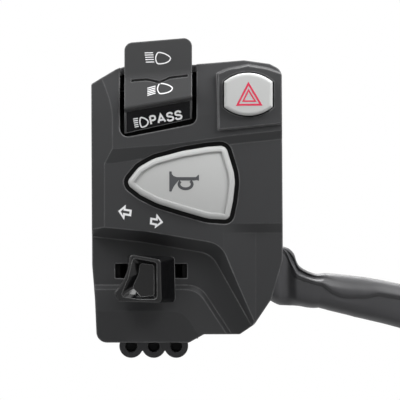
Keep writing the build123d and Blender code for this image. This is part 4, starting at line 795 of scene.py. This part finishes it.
FLOOR_RADIUS = 0.9
FLOOR_MIDDLE_X = 0.03
FLOOR_DROP = 4.0 * MM
FLOOR_SIDES = 64
FLOOR_COLOUR = (0.88, 0.88, 0.88, 1.0)
FLOOR_ROUGHNESS = 0.8
WHITE = (1.0, 1.0, 1.0, 1.0)
LAMPS = [
    ("Left lamp", "left", (-0.12, -0.10, 0.10), 0.10),
    ("Right lamp", "right", (0.13, -0.09, 0.12), 0.12),
    ("Rear lamp", "behind", (0.02, 0.35, 0.50), 0.35),
    ("Overhead lamp", "overhead", (0.03, 0.0, 1.4), 1.0),
]
LAMPS_AIM = Vector((0.0, 0.0, -0.02))
FARTHEST_SEEN = 50.0


def mixed_shaders(tree, share, first, second, output):
    """Leads two shaders, mixed by a share, to the output."""
    blend = tree.nodes.new("ShaderNodeMixShader")
    tree.links.new(share, blend.inputs[0])
    tree.links.new(first, blend.inputs[1])
    tree.links.new(second, blend.inputs[2])
    tree.links.new(blend.outputs[0], tree.nodes[output].inputs["Surface"])


def pale_floor(paleness):
    """Material of the floor, which the camera sees partly as plain white."""
    material = bpy.data.materials.new("Pale floor")
    material.use_nodes = True
    tree = material.node_tree
    shader = tree.nodes["Principled BSDF"]
    shader.inputs["Base Color"].default_value = FLOOR_COLOUR
    shader.inputs["Roughness"].default_value = FLOOR_ROUGHNESS
    white = node(tree, "ShaderNodeEmission", Strength=1.0)
    seen = tree.nodes.new("ShaderNodeLightPath").outputs["Is Camera Ray"]
    share = maths(tree, "MULTIPLY", seen, paleness)
    mixed_shaders(tree, share, shader.outputs[0], white.outputs[0], "Material Output")
    return material


def hang_lamp(scene, name, power, place, size):
    """Square lamp that faces the switch and isn't seen by the camera."""
    lamp = bpy.data.lights.new(name, "AREA")
    lamp.energy = power
    lamp.size = size
    piece = bpy.data.objects.new(name, lamp)
    scene.collection.objects.link(piece)
    piece.location = place
    piece.rotation_mode = "QUATERNION"
    piece.rotation_quaternion = (LAMPS_AIM - Vector(place)).to_track_quat("-Z", "Y")
    piece.visible_camera = False


def light_all_round(scene, strength):
    """World that looks white but gives only a weak light."""
    world = bpy.data.worlds.new("Studio")
    scene.world = world
    world.use_nodes = True
    tree = world.node_tree
    seen = tree.nodes["Background"]
    seen.inputs["Color"].default_value = WHITE
    seen.inputs["Strength"].default_value = 1.0
    glow = node(tree, "ShaderNodeBackground", Color=WHITE, Strength=strength)
    path = tree.nodes.new("ShaderNodeLightPath").outputs
    mirrored = maths(tree, "MAXIMUM", path["Is Glossy Ray"], path["Is Transmission Ray"])
    direct = maths(tree, "MAXIMUM", path["Is Camera Ray"], mirrored)
    mixed_shaders(tree, direct, glow.outputs[0], seen.outputs[0], "World Output")


# Operators

class SWITCH_OT_camera(bpy.types.Operator):
    """Places the camera straight in front of the case"""
    bl_idname = "switch.camera"
    bl_label = "Camera"
    bl_options = {"REGISTER", "UNDO"}

    def execute(self, context):
        stage = context.scene.switch_stage
        data = bpy.data.cameras.new("View")
        camera = bpy.data.objects.new("View", data)
        context.scene.collection.objects.link(camera)
        context.scene.camera = camera
        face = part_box("front_case")[0].y
        across, level = pixel(*VIEW_CENTRE_PX)
        camera.location = (across, face - stage.distance, level)
        camera.rotation_euler = (math.radians(90.0), 0.0, 0.0)
        data.lens = data.sensor_width * stage.distance / stage.width
        data.clip_end = FARTHEST_SEEN
        return {"FINISHED"}


class SWITCH_OT_sheath(bpy.types.Operator):
    """Lays the sheath along its route"""
    bl_idname = "switch.sheath"
    bl_label = "Sheath"
    bl_options = {"REGISTER", "UNDO"}

    def execute(self, context):
        harness = context.scene.switch_harness
        curve = bpy.data.curves.new("Sheath route", "CURVE")
        curve.dimensions = "3D"
        spline = curve.splines.new("NURBS")
        spline.points.add(len(SHEATH_ROUTE) - 1)
        for point, place in zip(spline.points, SHEATH_ROUTE):
            point.co = (*place, 1.0)
        spline.order_u = ROUTE_ORDER
        spline.use_endpoint_u = True
        spline.resolution_u = ROUTE_STEPS
        route = bpy.data.objects.new("Sheath route", curve)
        line = bpy.data.meshes.new_from_object(route)
        path = [v.co.copy() for v in line.vertices]
        bpy.data.objects.remove(route)
        bpy.data.meshes.remove(line)
        rings = []
        run = 0.0
        for i, point in enumerate(path):
            if i:
                run += (point - path[i - 1]).length
            way = (path[min(i + 1, len(path) - 1)] - path[max(i - 1, 0)]).normalized()
            depth = (FORWARDS - way * FORWARDS.dot(way)).normalized()
            up = way.cross(depth)
            half, thick, fold, groove = table_at(SHEATH_SECTIONS, run / MM)
            half *= harness.width / SHEATH_WIDTH
            thick *= harness.depth / SHEATH_DEPTH
            section = soft_section(half, -half, (2.0 * fold - 1.0) * half, thick, groove)
            rings.append([point + depth * (a * MM) + up * (b * MM) for a, b in section])
        piece = add_piece("sheath", skin(rings), "Sheath vinyl", "housing")
        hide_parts("cable_sheath")
        return {"FINISHED"}


class SWITCH_OT_boot(bpy.types.Operator):
    """Moulds the soft boot between the case and the sheath"""
    bl_idname = "switch.boot"
    bl_label = "Boot"
    bl_options = {"REGISTER", "UNDO"}

    def execute(self, context):
        start = Vector(SHEATH_ROUTE[0])
        way = (Vector(SHEATH_ROUTE[1]) - start).normalized()
        last_up = way.cross(FORWARDS).normalized()
        rings = []
        for ring in smooth_line(BOOT_RINGS, SMOOTH_LINE_STEPS, False):
            x, top, bottom, fold, half_depth, groove = ring
            turn = min(1.0, max(0.0, (x - BOOT_BEND) / (start.x / MM - BOOT_BEND)))
            up = UPWARDS.lerp(last_up, turn).normalized()
            middle = (top + bottom) / 2
            centre = Vector((x * MM, start.y, middle * MM))
            rings.append([
                centre + FORWARDS * (depth * MM) + up * ((level - middle) * MM)
                for depth, level in soft_section(top, bottom, fold, half_depth, groove)
            ])
        piece = add_piece("boot", skin(rings), "Sheath vinyl", "housing")
        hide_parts("cable_boot")
        return {"FINISHED"}


class SWITCH_OT_springs(bpy.types.Operator):
    """Winds the coil springs. A spring that sits on a button's joint gets a mesh of its own"""
    bl_idname = "switch.springs"
    bl_label = "Springs"
    bl_options = {"REGISTER", "UNDO"}

    def execute(self, context):
        make = context.scene.switch_springs
        for name, way, turns, joint, travel, body in SPRINGS:
            low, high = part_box(name)
            other = way.cross(SIDEWAYS)
            outer = (high.x - low.x) / 2
            wire = outer * make.wire_share
            centre = (low + high) / 2
            length = (high - low).dot(way)
            count = int(turns * make.steps)
            rings = []
            for i in range(count + 1):
                share = i / count
                # The turns lie closer together at both ends and at the middle
                rise = share - COIL_CROWDING * math.sin(4 * math.pi * share) / 2
                angle = 2 * math.pi * turns * share
                out = SIDEWAYS * math.cos(angle) + other * math.sin(angle)
                along = (length - 2 * wire) * (rise - 0.5)
                middle = centre + way * along + out * (outer - wire)
                rings.append([
                    middle + (out * math.cos(a) + way * math.sin(a)) * wire
                    for a in (2 * math.pi * k / make.sides for k in range(make.sides))
                ])
            piece = add_piece(f"{name}_coil", skin(rings), "Spring steel", body)
            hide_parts(name)
            if joint:
                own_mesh(piece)
        return {"FINISHED"}


class SWITCH_OT_finishes(bpy.types.Operator):
    """Gives each solid its finish"""
    bl_idname = "switch.finishes"
    bl_label = "Finishes"
    bl_options = {"REGISTER", "UNDO"}

    def execute(self, context):
        for part in frame["record"]["subparts"]:
            name = NODE_FINISH.get(part["node"], SLOT_FINISH[part["material_slot"]])
            for slot in frame["nodes"][part["node"]].material_slots:
                slot.material = finish(name)
        return {"FINISHED"}


class SWITCH_OT_dimmer_prints(bpy.types.Operator):
    """Prints the beam symbols and the passing mark on the rocker"""
    bl_idname = "switch.dimmer_prints"
    bl_label = "Dimmer prints"
    bl_options = {"REGISTER", "UNDO"}

    def execute(self, context):
        lay_on("high_beam_symbol", lamp_symbol(**HIGH_BEAM), "dimmer_rocker", "White ink",
               "dimmer")
        lay_on("low_beam_symbol", lamp_symbol(**LOW_BEAM), "dimmer_rocker", "White ink",
               "dimmer")
        mark = lamp_symbol(**PASSING_LAMP) + letters(**PASSING_WORD)
        lay_on("passing_mark", mark, "passing_plate", "White ink", "dimmer")
        return {"FINISHED"}


class SWITCH_OT_hazard_print(bpy.types.Operator):
    """Prints the double triangle on the hazard button"""
    bl_idname = "switch.hazard_print"
    bl_label = "Hazard print"
    bl_options = {"REGISTER", "UNDO"}

    def execute(self, context):
        faces = []
        for corners, line in HAZARD_TRIANGLES:
            faces += stroke(pixels(corners), line, True)
        lay_on("hazard_symbol", faces, "hazard_button", "Red ink", "hazard")
        return {"FINISHED"}


class SWITCH_OT_horn_print(bpy.types.Operator):
    """Prints the horn on its button"""
    bl_idname = "switch.horn_print"
    bl_label = "Horn print"
    bl_options = {"REGISTER", "UNDO"}

    def execute(self, context):
        loop = [
            pixel(HORN_LOOP_CENTRE[0] + HORN_LOOP_RADII[0] * math.cos(a),
                  HORN_LOOP_CENTRE[1] + HORN_LOOP_RADII[1] * math.sin(a))
            for a in map(math.radians, HORN_LOOP_ANGLES)
        ]
        faces = filled(pixels(HORN_OUTLINE)) + stroke(loop, HORN_LOOP_LINE)
        lay_on("horn_symbol", faces, "horn_button", "Grey ink", "horn")
        return {"FINISHED"}


class SWITCH_OT_turn_prints(bpy.types.Operator):
    """Prints the two hollow arrows above the turn signal knob"""
    bl_idname = "switch.turn_prints"
    bl_label = "Turn prints"
    bl_options = {"REGISTER", "UNDO"}

    def execute(self, context):
        for name, corners in (("left_arrow", LEFT_ARROW), ("right_arrow", RIGHT_ARROW)):
            faces = stroke(pixels(corners), ARROW_LINE, True)
            lay_on(name, faces, "front_case", "White ink", "housing")
        return {"FINISHED"}


class SWITCH_OT_stage(bpy.types.Operator):
    """Lays the floor and sets the light"""
    bl_idname = "switch.stage"
    bl_label = "Stage"
    bl_options = {"REGISTER", "UNDO"}

    def execute(self, context):
        stage = context.scene.switch_stage
        mesh = bmesh.new()
        bmesh.ops.create_circle(mesh, cap_ends=True, segments=FLOOR_SIDES, radius=FLOOR_RADIUS)
        data = bpy.data.meshes.new("floor")
        mesh.to_mesh(data)
        mesh.free()
        floor = bpy.data.objects.new("floor", data)
        context.scene.collection.objects.link(floor)
        floor.location = (FLOOR_MIDDLE_X, 0.0, CAD_BOX[0].z - FLOOR_DROP)
        data.materials.append(pale_floor(stage.paleness))
        for name, setting, place, size in LAMPS:
            hang_lamp(context.scene, name, getattr(stage, setting), place, size)
        light_all_round(context.scene, stage.sky)
        context.scene.view_settings.view_transform = "Standard"
        return {"FINISHED"}


class SWITCH_PT_panel(bpy.types.Panel):
    """Lists the steps and their settings"""
    bl_idname = "SWITCH_PT_panel"
    bl_label = "Switch Cluster"
    bl_space_type = "VIEW_3D"
    bl_region_type = "UI"
    bl_category = "Switch"

    def draw(self, context):
        for step in STEPS:
            self.layout.operator(step.bl_idname)
        for name, kind in GROUPS_OF_SETTINGS.items():
            box = self.layout.box()
            for key in kind.__annotations__:
                box.prop(getattr(context.scene, name), key)


STEPS = [
    SWITCH_OT_camera, SWITCH_OT_sheath, SWITCH_OT_boot, SWITCH_OT_springs, SWITCH_OT_finishes,
    SWITCH_OT_dimmer_prints, SWITCH_OT_hazard_print, SWITCH_OT_horn_print,
    SWITCH_OT_turn_prints, SWITCH_OT_stage,
]
GROUPS_OF_SETTINGS = {
    "switch_colours": SwitchColours, "switch_print": SwitchPrint,
    "switch_harness": SwitchHarness, "switch_springs": SwitchSprings,
    "switch_stage": SwitchStage,
}


def register():
    for kind in [*GROUPS_OF_SETTINGS.values(), *STEPS, SWITCH_PT_panel]:
        bpy.utils.register_class(kind)
    for name, kind in GROUPS_OF_SETTINGS.items():
        setattr(bpy.types.Scene, name, bpy.props.PointerProperty(type=kind))


def unregister():
    for name in GROUPS_OF_SETTINGS:
        delattr(bpy.types.Scene, name)
    for kind in [SWITCH_PT_panel, *STEPS[::-1], *GROUPS_OF_SETTINGS.values()]:
        bpy.utils.unregister_class(kind)


def main():
    register()
    for step in STEPS:
        area, name = step.bl_idname.split(".")
        getattr(getattr(bpy.ops, area), name)()


if __name__ == "__main__":
    main()
